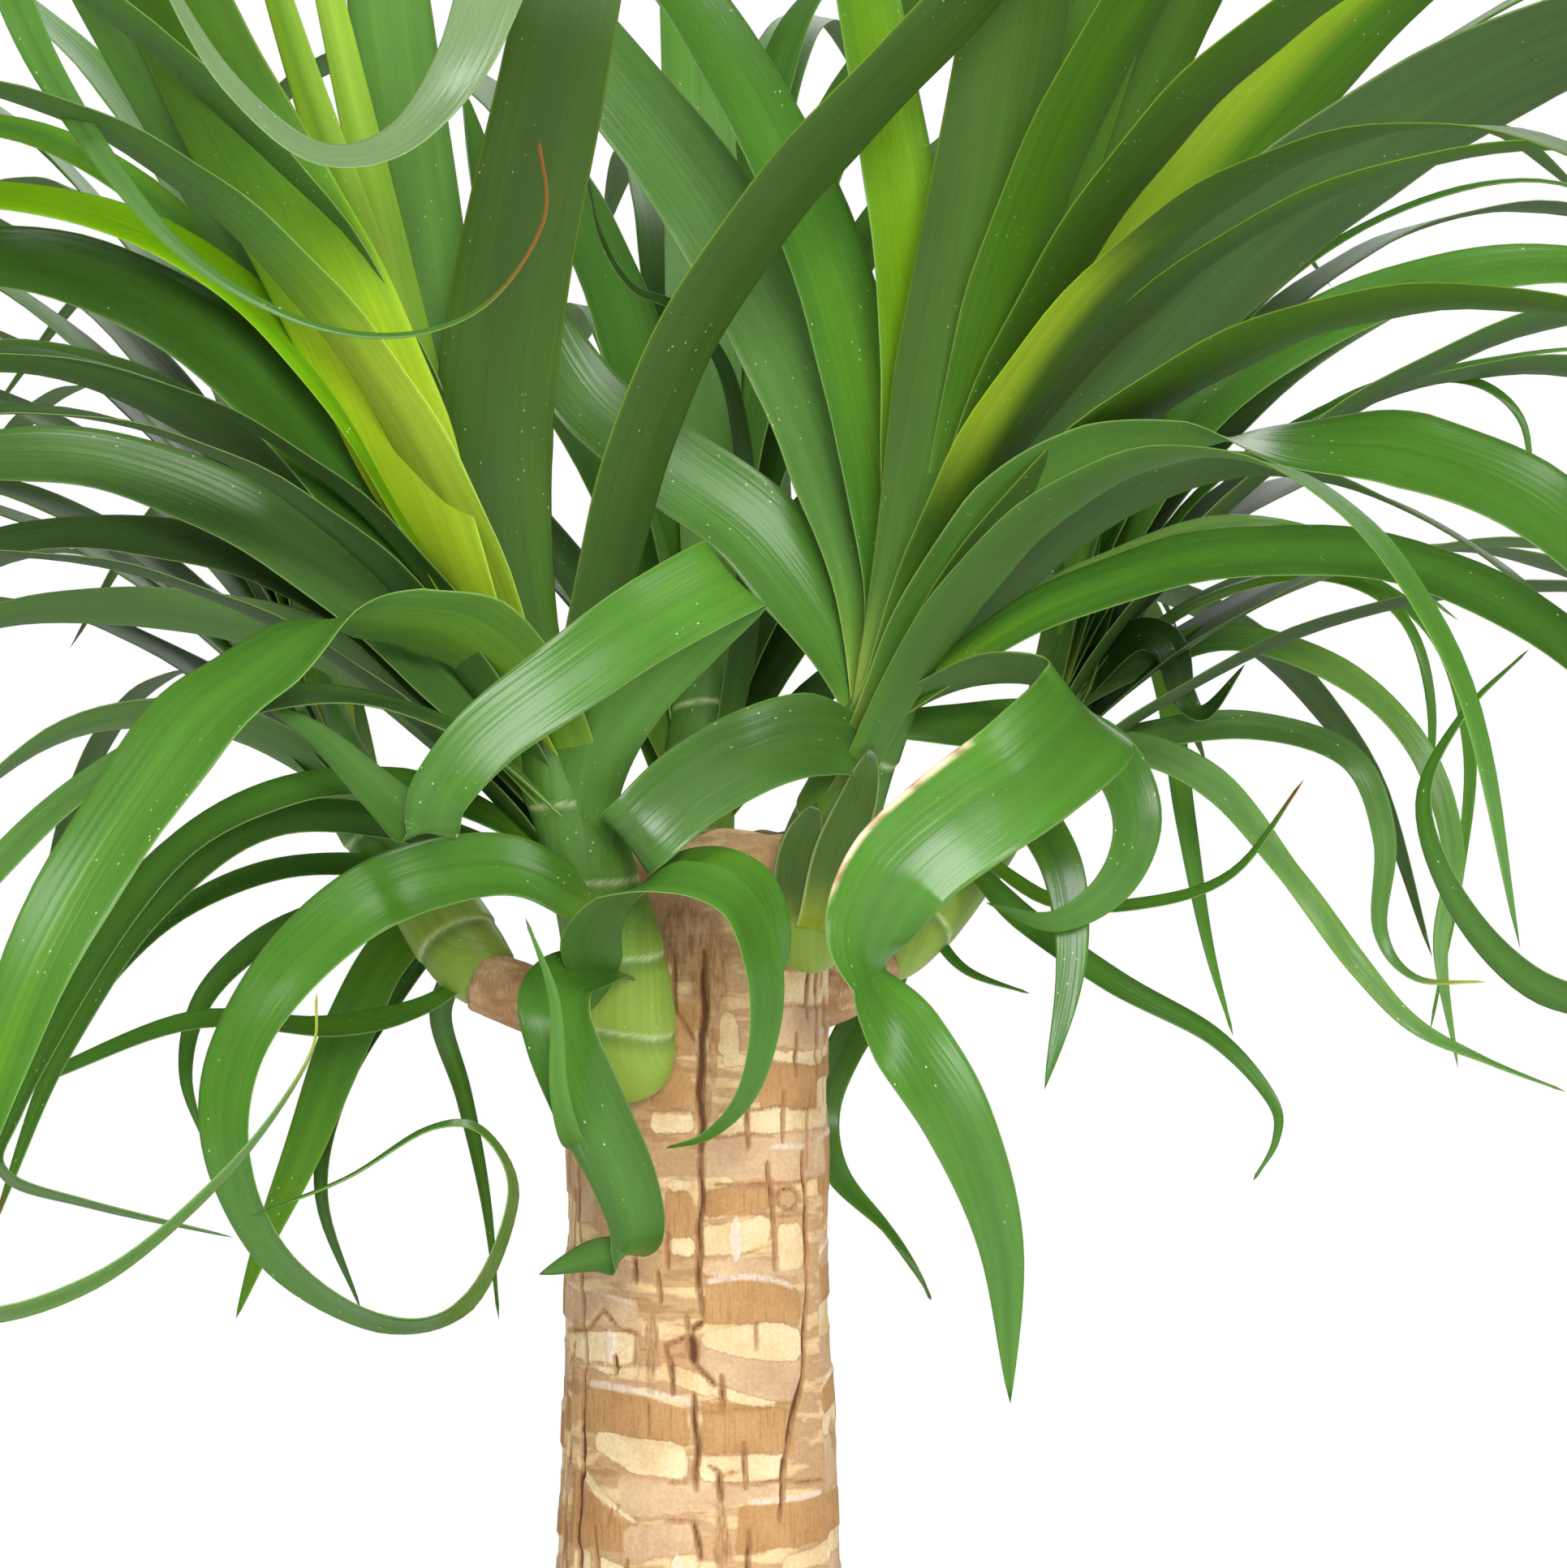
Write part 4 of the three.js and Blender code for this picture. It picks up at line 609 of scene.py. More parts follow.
def leaf_tint(leaf, share, side, upper, phase):
    """The colour of a blade at its share of length and share out to a margin: its tone plus slow sines,
    lighter at the root, greyer underneath, a thin pale margin and, on some, a yellow or rusty tip, a
    bright side, a painted sheen, a far part painted pale as if lit from behind or a dry streak."""
    name, out = leaf["name"], np.abs(side)
    tone = TONES.get(name, leaf["tone"])
    if name in TURNING:
        first, last, turned = TURNING[name]
        tone = tone + (turned - tone) * smooth(first, last, share)
    shade = tone + 0.12 * np.sin(7 * share + phase) * (1 - share) + 0.05 * np.cos(3.1 * out + phase)
    shade = np.clip(shade + 0.16 * (1 - smooth(0, 0.2, share)), 0, 1)
    colour = np.stack([np.interp(shade, TONE_STEPS, TONE_COLOURS[:, k]) for k in range(3)], axis=-1)
    colour = mixed(colour, PALE_ROOT, 0.5 * (1 - smooth(0.0, 0.1, share)))
    colour = mixed(colour, UNDERSIDE, 0.15 * (upper < 0))
    colour = mixed(colour, MARGIN, 0.4 * smooth(0.965, 1, out) * (share < 0.97))
    if name in YELLOW_TIPS:
        colour = mixed(colour, YELLOW, 0.75 * smooth(YELLOW_TIPS[name], 1, share))
    if name in BRIGHT_SIDE:
        way, first, last = BRIGHT_SIDE[name]
        lit = smooth(first, first + 0.1, share) * smooth(last, last - 0.1, share)
        colour = mixed(colour, TONE_COLOURS[-1], 0.5 * lit * smooth(-0.15, 0.6, way * side))
    # Painted sheen: the leaf's colour is mixed towards pale grey-green in place of its shine.
    colour = mixed(colour, PAINTED_LIGHT_GREEN, PAINTED_SHEEN.get(name, 0))
    if name.endswith("sheath"):
        colour = mixed(SHEATH_LOW, SHEATH_HIGH, smooth(0.05, 0.5, share))
        colour = mixed(colour, STEM_RING, 0.35 * smooth(0.9, 0.98, out))
    if name in LIT_THROUGH:
        colour = mixed(colour, colour * LESS_BLUE, smooth(-0.1, 0.35, share))
    # Painted backlight: the far part is mixed towards pale grey-green, as if lit through from behind.
    if name in PAINTED_BACKLIT_ENDS:
        first, last, most = PAINTED_BACKLIT_ENDS[name]
        colour = mixed(colour, PAINTED_LIGHT_GREEN, most * smooth(first, last, share))
    if name in DRY_MARGIN:
        way, first, last = DRY_MARGIN[name]
        dry = smooth(first - 0.02, first, share) * smooth(last + 0.02, last, share)
        dry = dry * smooth(0.86, 0.97, way * side)
        banded = (0.5 + 0.5 * np.sin(160 * share)) ** 3
        colour = mixed(mixed(colour, STRAW, dry), RUST, 0.8 * dry * banded)
    rusty = RUSTY_TIPS.get(name, PLAIN_TIP)
    return mixed(colour, RUST, smooth(rusty, rusty + 0.05, share))


STEM_ROWS = 220
STEM_SIDES = 48
STEM_GLOSS = 0.6
STEM_CLOSED = 0.35  # of its radius, at its foot
SHEATH_STEP = 17
SHEATH_LIP = 0.5
SHEATH_LINE = 0.6
SHEATH_TILT, SHEATH_WAVE = 2.4, 0.7
STEM_TURN = 1.3  # from one stem's tilt to the next one's, in radians
FIRST_STEM_FIBRES = 53.0


def stem_skin(shape, stem, number):
    """A round stem along its smooth route. Old leaf bases lap round it: every 17 mm the radius steps
    out by half a millimetre and falls back evenly, along rings that tilt with the cosine of the angle."""
    rows = np.array(stem, float)
    line = spline(rows, np.linspace(0, len(rows) - 1, STEM_ROWS))[0]
    at, radius = line[:, :3], line[:, 3:]
    angle, gone = full_turn(STEM_SIDES), gone_along(at)[:, None]
    tilt = gone + SHEATH_TILT * np.cos(angle + STEM_TURN * number) + SHEATH_WAVE * np.cos(2 * angle)
    phase = (tilt / SHEATH_STEP) % 1
    swell = radius + SHEATH_LIP * (1 - phase) * smooth(0, 0.08, phase)
    swell = swell * (STEM_CLOSED + (1 - STEM_CLOSED) * smooth(0, 5, gone) ** 0.5)
    tint = mixed(STEM_LOW, STEM_HIGH, smooth(0.15, 0.5, gone / gone[-1]))
    aside = SHEATH_STEP * np.minimum(phase, 1 - phase)
    tint = mixed(tint, STEM_RING, 0.5 * smooth(2 * SHEATH_LINE, 0.1, aside))
    # Painted shade: darker just below each pale ring line, in the hollow under the next lap's lip.
    tint = mixed(tint, STEM_HIGH * 0.7, 0.5 * smooth(0.75, 0.97, phase))
    fibre = np.stack(np.broadcast_arrays(angle * radius, gone, FIRST_STEM_FIBRES + number), axis=-1)
    gloss = np.full(swell.shape, STEM_GLOSS)
    shape.skin(tube_rings(at, swell, angle), at[0], at[-1], tint=tint, fibre=fibre, gloss=gloss)


# Trunk.

TRUNK_PROFILE = [(140, 60), (176, 67), (206, 69), (236, 62), (268, 49), (300, 38.5), (345, 31),
    (400, 29.2), (450, 28.8), (510, 29.4)]
TRUNK_COLUMNS = 288
TRUNK_FOOT, SOIL_LINE, FINER_ABOVE, TRUNK_TOP = 140, 178, 340, 510
BURIED_ROWS, LOW_ROWS, HIGH_ROWS = 7, 86, 236
FINER_IN_FRONT = 0.3
SMOOTHED_OVER = 9
SMOOTHING_STEPS = 9
LUMPS, FINE_LUMPS, KNOT_LUMPS = 0.5, 0.28, 0.5
TOP_JAGS = 3.0
JAGGED_FROM = TRUNK_TOP - 9
CUT_RINGS = [0.86, 0.6, 0.3]  # of the top's radius, in towards the middle of its cut face
CUT_LEVEL, CUT_WAVE, CUT_MIDDLE = TRUNK_TOP - 2.2, 1.2, TRUNK_TOP - 3
CUT_TORN = 0.8
RINGS = [503, 484, 463.5, 442, 414, 388, 365, 343, 322, 302, 283, 264, 246, 229, 213, 199, 186]
TAN, PINK, CREAM, RIM = range(4)  # the layers of the bark
LAYER_STEPS = (0.2, -0.15, -0.4, 0.35)  # how far each layer stands out
LAYER_EDGE = 0.6  # half the width of a step between layers
RIM_HEIGHT = 1.2
CORNER = 1.6  # how far the corners of a bark patch are rounded off
CRACK_DEPTH = 1.0
CRACK_LIP, CRACK_BED = 0.45, -0.6  # where its groove starts and is full, outwards from its edge
CRACK_REACH = 9
PATCH_REACH = 6
CRACK_SEED, PATCH_SEED, KNOT_SEED = 41, 19, 5
SEEN_ABOVE = 350  # the photo shows the trunk's front from here up
FRONT_EDGE = 1.15  # and from the front to this angle on both sides

# Patches of the layered bark that show from the front: the layer (0 tan, 1 pink, 2 cream, 3 pale
# rim), its left and right ends as places from the middle line, the heights of its upper edge at
# both, of its lower edge at both, and how far the upper and the lower edge bow up between them.
FRONT_PATCHES = [
    (3, 1.9, 21, 413, 411, 411.6, 409.7, 1.8, 1.9),
    (0, 1.6, 22, 411.8, 409.9, 403, 401.6, 1.9, 0.6),
    (2, 1, 22.4, 401.2, 401.6, 399, 395.4, 1.6, -1.8),
    (1, 1, 22, 399, 395.4, 388.8, 386, -1.8, -0.6), (2, 3.5, 18, 389.6, 385.7, 388.2, 385, 0, -1),
    (2, -28, -12.5, 400, 400.6, 394.6, 391, 0.5, 0),
    (2, -7.6, 3.8, 395, 390.6, 391.4, 388, 0.6, -0.5),
    (3, -23.6, 0.4, 390.4, 386.8, 388.9, 385.3, 0.8, 0.7),
    (0, -24, -1.2, 388.9, 385.3, 379.2, 376.6, 0.8, 0),
    (0, 1, 20.4, 386.4, 384.5, 375, 375, 0.3, 0),
    (2, -22, -1.8, 379, 376.8, 376.2, 369.8, 0.6, -2.2),
    (2, 1, 19, 374.6, 374.6, 369.8, 368.8, 0.3, 0),
    (1, -17, 18.5, 370, 368.8, 360.6, 364.8, 0, 0.4),
    (3, 10.4, 26.8, 365.5, 366.4, 364.2, 365.2, -0.4, -0.4),
    (0, 8.8, 28, 364.4, 365, 353.6, 355.6, -0.4, 0),
    (2, 18.6, 28.4, 351.9, 355, 348.8, 350.8, 0, 0),
    (2, -26, -12.6, 374, 360.8, 371, 359.4, -1, -1),
    (0, -26.4, -13, 371, 359.4, 353.6, 353.6, -1, 0),
    (1, -15.8, -0.4, 358.8, 360.3, 351.7, 354, 0.5, 0),
    (2, -26.4, -22.8, 353.6, 353.6, 346, 346, 0, 0),
    (2, -21.4, -15.6, 352.6, 350.6, 345, 345, 0, 0), (2, -5.4, 0.4, 353, 354, 345, 346, 0, 0),
    (1, -28.6, -12.4, 410, 408, 401.4, 402, 0, 1.6),
    (3, -28, -13, 411.2, 407.6, 410.5, 406.9, 0.6, 0.6),
    (2, 17.2, 29.6, 479.3, 479.3, 471.7, 471.4, 0, 0),
    (1, 16, 30.5, 471.7, 471.4, 462.7, 462.9, 0, 0.4),
    (2, 15, 28.8, 462.7, 463, 460, 460.4, -1.2, -1.2), (0, 14, 29, 460, 460.4, 448.8, 449, -1, 0),
    (2, 5, 28.6, 449.3, 449.4, 443.5, 444.6, 0, 0.5),
    (1, 2, 28, 443.5, 444.6, 434.6, 434.6, 0, -0.4),
    (3, 15.6, 24.4, 441.6, 441.4, 440.5, 440.3, 0.3, 0.2),
    (2, 1.4, 8, 434.6, 435, 432.2, 433.2, 0.3, 0), (2, -6.2, -0.4, 434.4, 434.2, 432.4, 432, 0, 0),
    (0, 1.8, 15.7, 432.2, 433, 426.3, 427, 0, 0), (0, -6.4, -0.4, 432.2, 432, 422, 421.6, 0, -1),
    (2, 1.4, 15.7, 424, 426.6, 417.4, 419.8, 0, 0), (2, -6.2, 0, 422, 421.6, 418, 418.2, 0, 0),
    (2, 17.6, 23, 424, 424, 414, 414.6, 0.6, 0),
    (2, -29.2, -24.8, 424.6, 424.4, 418.4, 418.6, 0, 0),
    (2, -9.6, -0.5, 449.5, 449.4, 444.6, 444.8, 0, 0), (0, -10, 0, 455, 455, 449.6, 449.6, 3.4, 0),
    (0, -7, 2, 470.6, 470.6, 461.4, 463, 1.6, -1), (2, -0.6, 2.6, 466.4, 466, 461.7, 461.6, 0.5, 0),
    (2, 5.2, 9.2, 470.6, 470, 461.4, 461, 0, 0), (2, 6, 14, 461.2, 460.6, 459, 459.2, 0, 0),
    (1, -29.6, -21.8, 439, 438.6, 425, 424.6, 0, 0), (1, 1, 24, 417.2, 416.6, 414, 412.6, 0, 0),
    (1, -27.4, -14, 418.2, 416.8, 412.6, 412, 0, 0), (3, 7, 10, 423, 423, 420.4, 420.4, 3.6, -3.8),
    (3, -20.2, -17.6, 399.6, 399.6, 397.4, 397.4, 2, -2.2),
    (3, -5.4, -2.8, 351.6, 351.6, 349, 349, 2, -2.4),
]

# Cracks and lines that show from the front: place to the right of the middle line at one end and at
# the other, height at both ends, and half width.
FRONT_CRACKS = [
    (-25.7, -24.6, 440, 392, 0.5), (-24.6, -26.4, 392, 340, 0.9), (1.6, 0.9, 484, 440, 0.9),
    (0.9, 0.8, 440, 405, 0.6), (25.2, 24.8, 487, 469, 0.8), (22, 21.8, 466, 456.5, 0.45),
    (11.4, 11.4, 451, 441, 0.4), (19.3, 19.2, 453, 442, 0.4), (25, 24.4, 453, 436, 0.3),
    (23.6, 24, 440, 414, 0.8), (24, 23.2, 414, 391, 0.75), (23, 19.4, 392, 377, 0.9),
    (19.6, 17.9, 378, 360, 0.55), (15.7, 16.8, 438, 424, 0.55), (16.8, 17, 424, 414.4, 0.4),
    (-0.5, 0, 388, 367.4, 0.6), (10.2, 10.6, 377.6, 367.6, 0.45), (5.4, 5.6, 392, 384.6, 0.5),
    (-6.5, -6, 423, 415, 0.3), (-13.4, -13, 418.4, 412, 0.45), (-8.4, -7.6, 414.8, 408, 0.35),
    (-5.6, -5, 396, 388, 0.45), (-22.1, -21.7, 358.6, 347, 0.4), (12.9, 13, 403.4, 397.4, 0.25),
    (11, 11.6, 358.6, 345, 0.5), (-15.3, -15.5, 352, 344, 0.4), (-18, -17.6, 396, 392, 0.6),
    (-13.4, -13.6, 400, 394, 0.25), (-18.6, -19.4, 362.6, 358.6, 0.2),
    (-10.4, -10.4, 386, 379, 0.15), (14.4, 25.4, 432.6, 434, 0.12), (4, 15.6, 433.2, 433.4, 0.2),
    (-10.6, 0.2, 449.4, 449, 0.2), (5, 27.6, 449.5, 449.2, 0.1), (0.6, 17, 443.6, 443.8, 0.1),
    (16.2, 30, 471.6, 471.4, 0.14), (-5.6, -4.4, 484, 470, 0.45), (-4.6, 1.2, 470.6, 462.6, 0.35),
    (-4.6, -10, 463, 456, 0.4), (-28.6, -24, 400.4, 401, 0.3), (-24, -20.4, 401, 405.8, 0.3),
    (-20.4, -17, 405.8, 401.8, 0.3), (-17, -12.4, 401.8, 400.8, 0.3),
    (-28, -14, 394.4, 393.8, 0.14), (-7, -1.6, 398.4, 400.8, 0.35), (-1.6, -2.2, 400.8, 405, 0.4),
    (-1.4, 1.4, 401.6, 403.8, 0.6), (-1.2, -0.4, 401, 394.6, 1), (-0.4, 4, 394.6, 389.8, 0.5),
    (-6.6, -6.2, 398.4, 394.8, 0.3), (-6.2, -5, 394.8, 390, 0.25), (2.6, 5, 372.8, 371.4, 0.25),
    (5, 5.4, 371.4, 365, 0.6), (5.2, 9, 370.4, 371.4, 0.15), (-6.4, 0.6, 360.8, 360.4, 0.25),
    (-0.8, 1.2, 360.4, 352.4, 0.55), (-6.2, 0.4, 368.8, 369.6, 0.12), (1, 20, 384.6, 385, 0.12),
    (4, 27.8, 368.8, 368.2, 0.2), (14.6, 24.6, 426.4, 426, 0.12),
]
# Cracks by rule, round the back and down the swollen foot: how many, the angles and the heights that
# their upper ends lie between, how far they lean, how long a drawn length is and the least length
# that it adds to, and between what their half widths lie.
DRAWN_CRACKS = [
    (150, (FRONT_EDGE, 2 * np.pi - FRONT_EDGE), (300, 508), 0.05, 7, 4, (0.2, 0.75)),
    (90, (0, 2 * np.pi), (196, 345), 0.04, 10, 5, (0.25, 0.9)),
]
# The small ring mark: its place to the right of the middle line, its height, radius and half width.
RING_MARK = (20, 429.8, 2.4, 0.3)
RING_MARK_SIDES = 8
# Darker rough patches, as knots and torn bark, that show from the front: place to the right,
# height, half width and half height.
FRONT_KNOTS = [
    (-9.6, 399, 1.8, 9.5), (5.2, 357, 2, 9), (-0.8, 398, 1.8, 3), (-3, 487, 6, 10), (-7, 459, 4, 3),
    (22, 491, 6, 8), (28.5, 468, 3, 6), (-20, 476, 9, 9), (3, 480, 5, 13), (3.6, 462, 1, 7),
    (2.4, 450, 1, 6),
]
KNOT_RADIUS = 29  # of the trunk where those are
# Knots by rule: how many, and between what their angles, heights, half widths and half heights lie.
DRAWN_KNOTS = [
    (16, (1.2, 5.1), (300, 500), (2, 6), (4, 12)),
    (14, (0, 6.28), (190, 330), (3, 8), (4, 12)),
]


def waves(angle, height, seed, count=24, steepest=7, finest=0.22):
    """A smooth field on a round trunk: a sum of sines of a whole number of turns of the angle plus a
    multiple of the height, with drawn phases and weights that fall as the sines get finer."""
    rnd = np.random.default_rng(seed)
    total = 0
    for _ in range(count):
        turns = rnd.integers(0, steepest)
        climb = rnd.uniform(-finest, finest)
        weight = 1 / (1 + 0.35 * turns + 10 * abs(climb))
        total = total + weight * np.sin(turns * angle + climb * height + rnd.uniform(0, 2 * np.pi))
    return total / math.sqrt(count / 3)


def turned_to(x, radius):
    """The angle about the trunk, from the front, of a place that far to the right of the middle."""
    return math.asin(max(-0.999, min(0.999, x / radius)))


def about(angle, middle):
    """How far an angle is from another one, between half a turn back and half a turn on."""
    return (angle - middle + np.pi) % (2 * np.pi) - np.pi


def plain_radius(height):
    """The trunk's radius at a height, straight between the rows of its profile."""
    return np.interp(height, *zip(*TRUNK_PROFILE))


def seen_at(x, height):
    """The angle about the plain trunk of a place to the right of the middle line at a height."""
    return turned_to(x, plain_radius(height))


def rows_near(height, low, high):
    """The rows of the trunk's grid between two heights."""
    first, last = np.searchsorted(height[:, 0], (low, high))
    return slice(max(0, first - 1), last + 1)


def crack_list():
    """The cracks and lines that the photo shows, then drawn ones round the back and down the swollen
    foot: each an angle at its two ends, their heights and a half width."""
    found = [(seen_at(x_top, top), seen_at(x_bottom, bottom), top, bottom, half)
        for x_top, x_bottom, top, bottom, half in FRONT_CRACKS]
    x, z, size, half = RING_MARK
    turns = np.linspace(0, 2 * np.pi, RING_MARK_SIDES + 1)
    ends = [(seen_at(x + size * math.cos(turn), z), z + size * math.sin(turn)) for turn in turns]
    found += [(a, b, top, bottom, half) for (a, top), (b, bottom) in zip(ends[:-1], ends[1:])]
    rnd = np.random.default_rng(CRACK_SEED)
    for count, angles, tops, lean, length, least, halves in DRAWN_CRACKS:
        for _ in range(count):
            at, top = rnd.uniform(*angles), rnd.uniform(*tops)
            end, bottom = at + rnd.normal(0, lean), top - rnd.gamma(2, length) - least
            found.append((at, end, top, bottom, rnd.uniform(*halves)))
    return found


def crack_field(angle, height, radius):
    """The distance to the nearest crack's edge: from a wandering line between its ends, on the
    unrolled bark, less a half width that narrows to both ends as a root of a parabola."""
    field = np.full(angle.shape, float(CRACK_REACH))
    for number, (first, last, top, bottom, half) in enumerate(crack_list()):
        rows = rows_near(height, min(top, bottom) - CRACK_REACH, max(top, bottom) + CRACK_REACH)
        run = about(last, first) * plain_radius((top + bottom) / 2)
        up = bottom - top
        x, z = about(angle[rows], first) * radius[rows], height[rows] - top
        long = math.hypot(run, up)
        along, aside = (x * run + z * up) / long, (x * up - z * run) / long
        t = np.clip(along / long, 0, 1)
        wander = 0.3 * np.sin(along / 4.7 + number) + 0.22 * np.sin(along / 1.9 + 2 * number)
        wander = wander * min(1, long / 20)
        past = np.maximum(0, np.maximum(-along, along - long))
        width = half * (0.35 + 0.65 * np.sqrt(np.maximum(0, 4 * t * (1 - t))))
        field[rows] = np.minimum(field[rows], np.hypot(aside - wander, past) - width)
    return field


def patch_list():
    """The patches that the photo shows, then drawn ones for the rest: under every leaf scar, each
    with a pale rim, a tan face, for most a cream one and a pink one below it."""
    found = [(layer, seen_at(left, edges[0]), seen_at(right, edges[0]), *edges)
        for layer, left, right, *edges in FRONT_PATCHES]
    rnd = np.random.default_rng(PATCH_SEED)
    for upper, lower in zip(RINGS[:-1], RINGS[1:]):
        deep = upper - lower
        at, stop = 0.2, 2 * np.pi - 0.1
        if upper > SEEN_ABOVE:
            at, stop = FRONT_EDGE, 2 * np.pi - FRONT_EDGE
        while at < stop:
            end = min(stop, at + rnd.uniform(0.4, 1.0))
            top, lean, bow = upper + rnd.uniform(-4, 4), rnd.uniform(-3, 3), rnd.uniform(-1, 2)
            face, bare = deep * rnd.uniform(0.3, 0.5), deep * rnd.uniform(0.16, 0.3)
            edge = np.array([top, top + lean])
            if rnd.random() < 0.6:
                found.append((RIM, at, end, *edge, *(edge - RIM_HEIGHT), bow, bow))
            found.append((TAN, at, end, *(edge - 1), *(edge - face), bow, 0.4))
            if rnd.random() < 0.75:
                low = edge - face - bare * np.array([1, rnd.uniform(0.5, 1.4)])
                found.append((CREAM, at, end, *(edge - face), *low, 0.4, rnd.uniform(-2, 1)))
            found.append((PINK, at, end, *(edge - face - bare), *(edge - deep), 0, 0))
            at = end + rnd.uniform(0.02, 0.1)
    return found


def layer_fields(angle, height):
    """For each layer, how far inside its nearest patch a point is, in mm; less than 0 is outside. The
    edges are straight lines bowed by a parabola, and corners are rounded as quarter circles are."""
    fields = np.full((len(LAYER_STEPS), *angle.shape), -CORNER)
    for layer, first, last, top_a, top_b, low_a, low_b, bow_top, bow_low in patch_list():
        rows = rows_near(height, min(low_a, low_b) - PATCH_REACH, max(top_a, top_b) + PATCH_REACH)
        reach = about(last, first) / 2
        reach = reach if reach > 0 else reach + np.pi
        across = about(angle[rows], first + reach) / reach
        bulge, slide = np.maximum(-1, 1 - across * across), across / 2
        top = (top_a + top_b) / 2 + (top_b - top_a) * slide + bow_top * bulge
        low = (low_a + low_b) / 2 + (low_b - low_a) * slide + bow_low * bulge
        inside = np.minimum(top - height[rows], height[rows] - low)
        ends = (1 - np.abs(across)) * reach * plain_radius((top_a + low_a) / 2)
        away = CORNER - np.hypot(np.maximum(0, CORNER - inside), np.maximum(0, CORNER - ends))
        fields[layer, rows] = np.maximum(fields[layer, rows], np.maximum(away, -CORNER))
    return fields


def knot_field(angle, height, radius):
    """How torn the bark is, 0 to 1: the most of the bells exp(-(across^2 + along^2)) of the knots."""
    rnd = np.random.default_rng(KNOT_SEED)
    spots = [(turned_to(x, KNOT_RADIUS), *rest) for x, *rest in FRONT_KNOTS]
    spots += [[rnd.uniform(*span) for span in spans] for count, *spans in DRAWN_KNOTS
        for _ in range(count)]
    field = np.zeros(angle.shape)
    for at, middle, wide, tall in spots:
        across = about(angle, at) * radius
        field = np.maximum(field, np.exp(-((across / wide) ** 2) - ((height - middle) / tall) ** 2))
    return field


def trunk_skin(shape):
    """The trunk about the vertical, its grid finer in front and high up. Its radius is the profile's,
    evened out over 9 mm each way, plus slow waves, plus each layer's step, less a groove at each crack.
    Its top is jagged by waves, and a cut face dips from there to the middle."""
    heights = np.concatenate([np.linspace(TRUNK_FOOT, SOIL_LINE, BURIED_ROWS, endpoint=False),
        np.linspace(SOIL_LINE, FINER_ABOVE, LOW_ROWS, endpoint=False),
        np.linspace(FINER_ABOVE, TRUNK_TOP, HIGH_ROWS)])
    turn = full_turn(TRUNK_COLUMNS)
    angle, height = np.meshgrid(turn - FINER_IN_FRONT * np.sin(turn), heights)
    steps = np.linspace(-SMOOTHED_OVER, SMOOTHED_OVER, SMOOTHING_STEPS)
    plain = np.mean([plain_radius(height + step) for step in steps], axis=0)
    layers = layer_fields(angle, height)
    crack = crack_field(angle, height, plain)
    knot = knot_field(angle, height, plain)
    lumps = LUMPS * waves(angle, height, seed=3)
    lumps = lumps + FINE_LUMPS * waves(angle, height, seed=4, count=40, steepest=26, finest=0.9)
    stepped = sum(step * smooth(-LAYER_EDGE, LAYER_EDGE, field)
        for step, field in zip(LAYER_STEPS, layers))
    radius = plain + lumps + stepped - CRACK_DEPTH * smooth(CRACK_LIP, CRACK_BED, crack)
    torn = waves(angle, height, seed=6, count=40, steepest=30, finest=1.4)
    radius = radius + KNOT_LUMPS * knot * torn
    jag = TOP_JAGS * smooth(JAGGED_FROM, TRUNK_TOP, height)
    jag = jag * waves(angle, 0 * height, seed=9, count=30, steepest=24)
    points = np.stack([radius * np.sin(angle), -radius * np.cos(angle), height + jag], axis=-1)
    inward = np.array(CUT_RINGS)[:, None, None]
    cut = points[-1] * np.array([1, 1, 0]) * inward
    cut = cut + UP * (CUT_LEVEL + CUT_WAVE * np.sin(9 * inward))
    more = ((0, len(CUT_RINGS)), (0, 0))
    tan, pink, cream, rim = (np.pad(field, more, constant_values=-CORNER) for field in layers)
    marks = [rim, np.pad(crack, more, "edge"), np.pad(knot, more, constant_values=CUT_TORN)]
    shape.skin(np.concatenate([points, cut]), UP * TRUNK_FOOT, UP * CUT_MIDDLE,
        layers=np.stack([tan, pink, cream], axis=-1), marks=np.stack(marks, axis=-1))


# The two woody stubs: their routes as x, y, z, radius.
STUBS = [
    [[12, 5, 468, 8], [30, 13, 476, 9.5], [39, 19, 482, 8.5]],
    [[-12, 5, 466, 7], [-32, 13, 470, 8], [-48, 19, 476, 7.5]],
]
STUB_ROWS = 34
STUB_SIDES = 48
FIRST_STUB_SEED = 20


def stub_skin(shape, route, seed):
    """A short woody stub: a round tube along its route, roughened by fine waves."""
    rows = np.array(route, float)
    line = evenly(rows, np.linspace(0, len(rows) - 1, STUB_ROWS))
    angle, gone = np.meshgrid(full_turn(STUB_SIDES), np.linspace(0, STUB_ROWS, STUB_ROWS))
    rough = 0.6 * waves(angle, gone, seed, count=40, steepest=16, finest=1.2) - 0.4
    bare = np.full(rough.shape, -CORNER)
    torn = 0.3 + 0.4 * waves(angle, gone, seed + 5, count=30, steepest=9, finest=0.6)
    flaked = 2 * waves(angle, gone, seed + 7, finest=0.4)
    shape.skin(tube_rings(line[:, :3], line[:, 3:] + rough, angle), line[0, :3], line[-1, :3],
        layers=np.stack([bare, flaked, -flaked - 1], axis=-1),
        marks=np.stack([bare, 0.7 + 1.2 * rough, torn], axis=-1))


# Pot and soil.

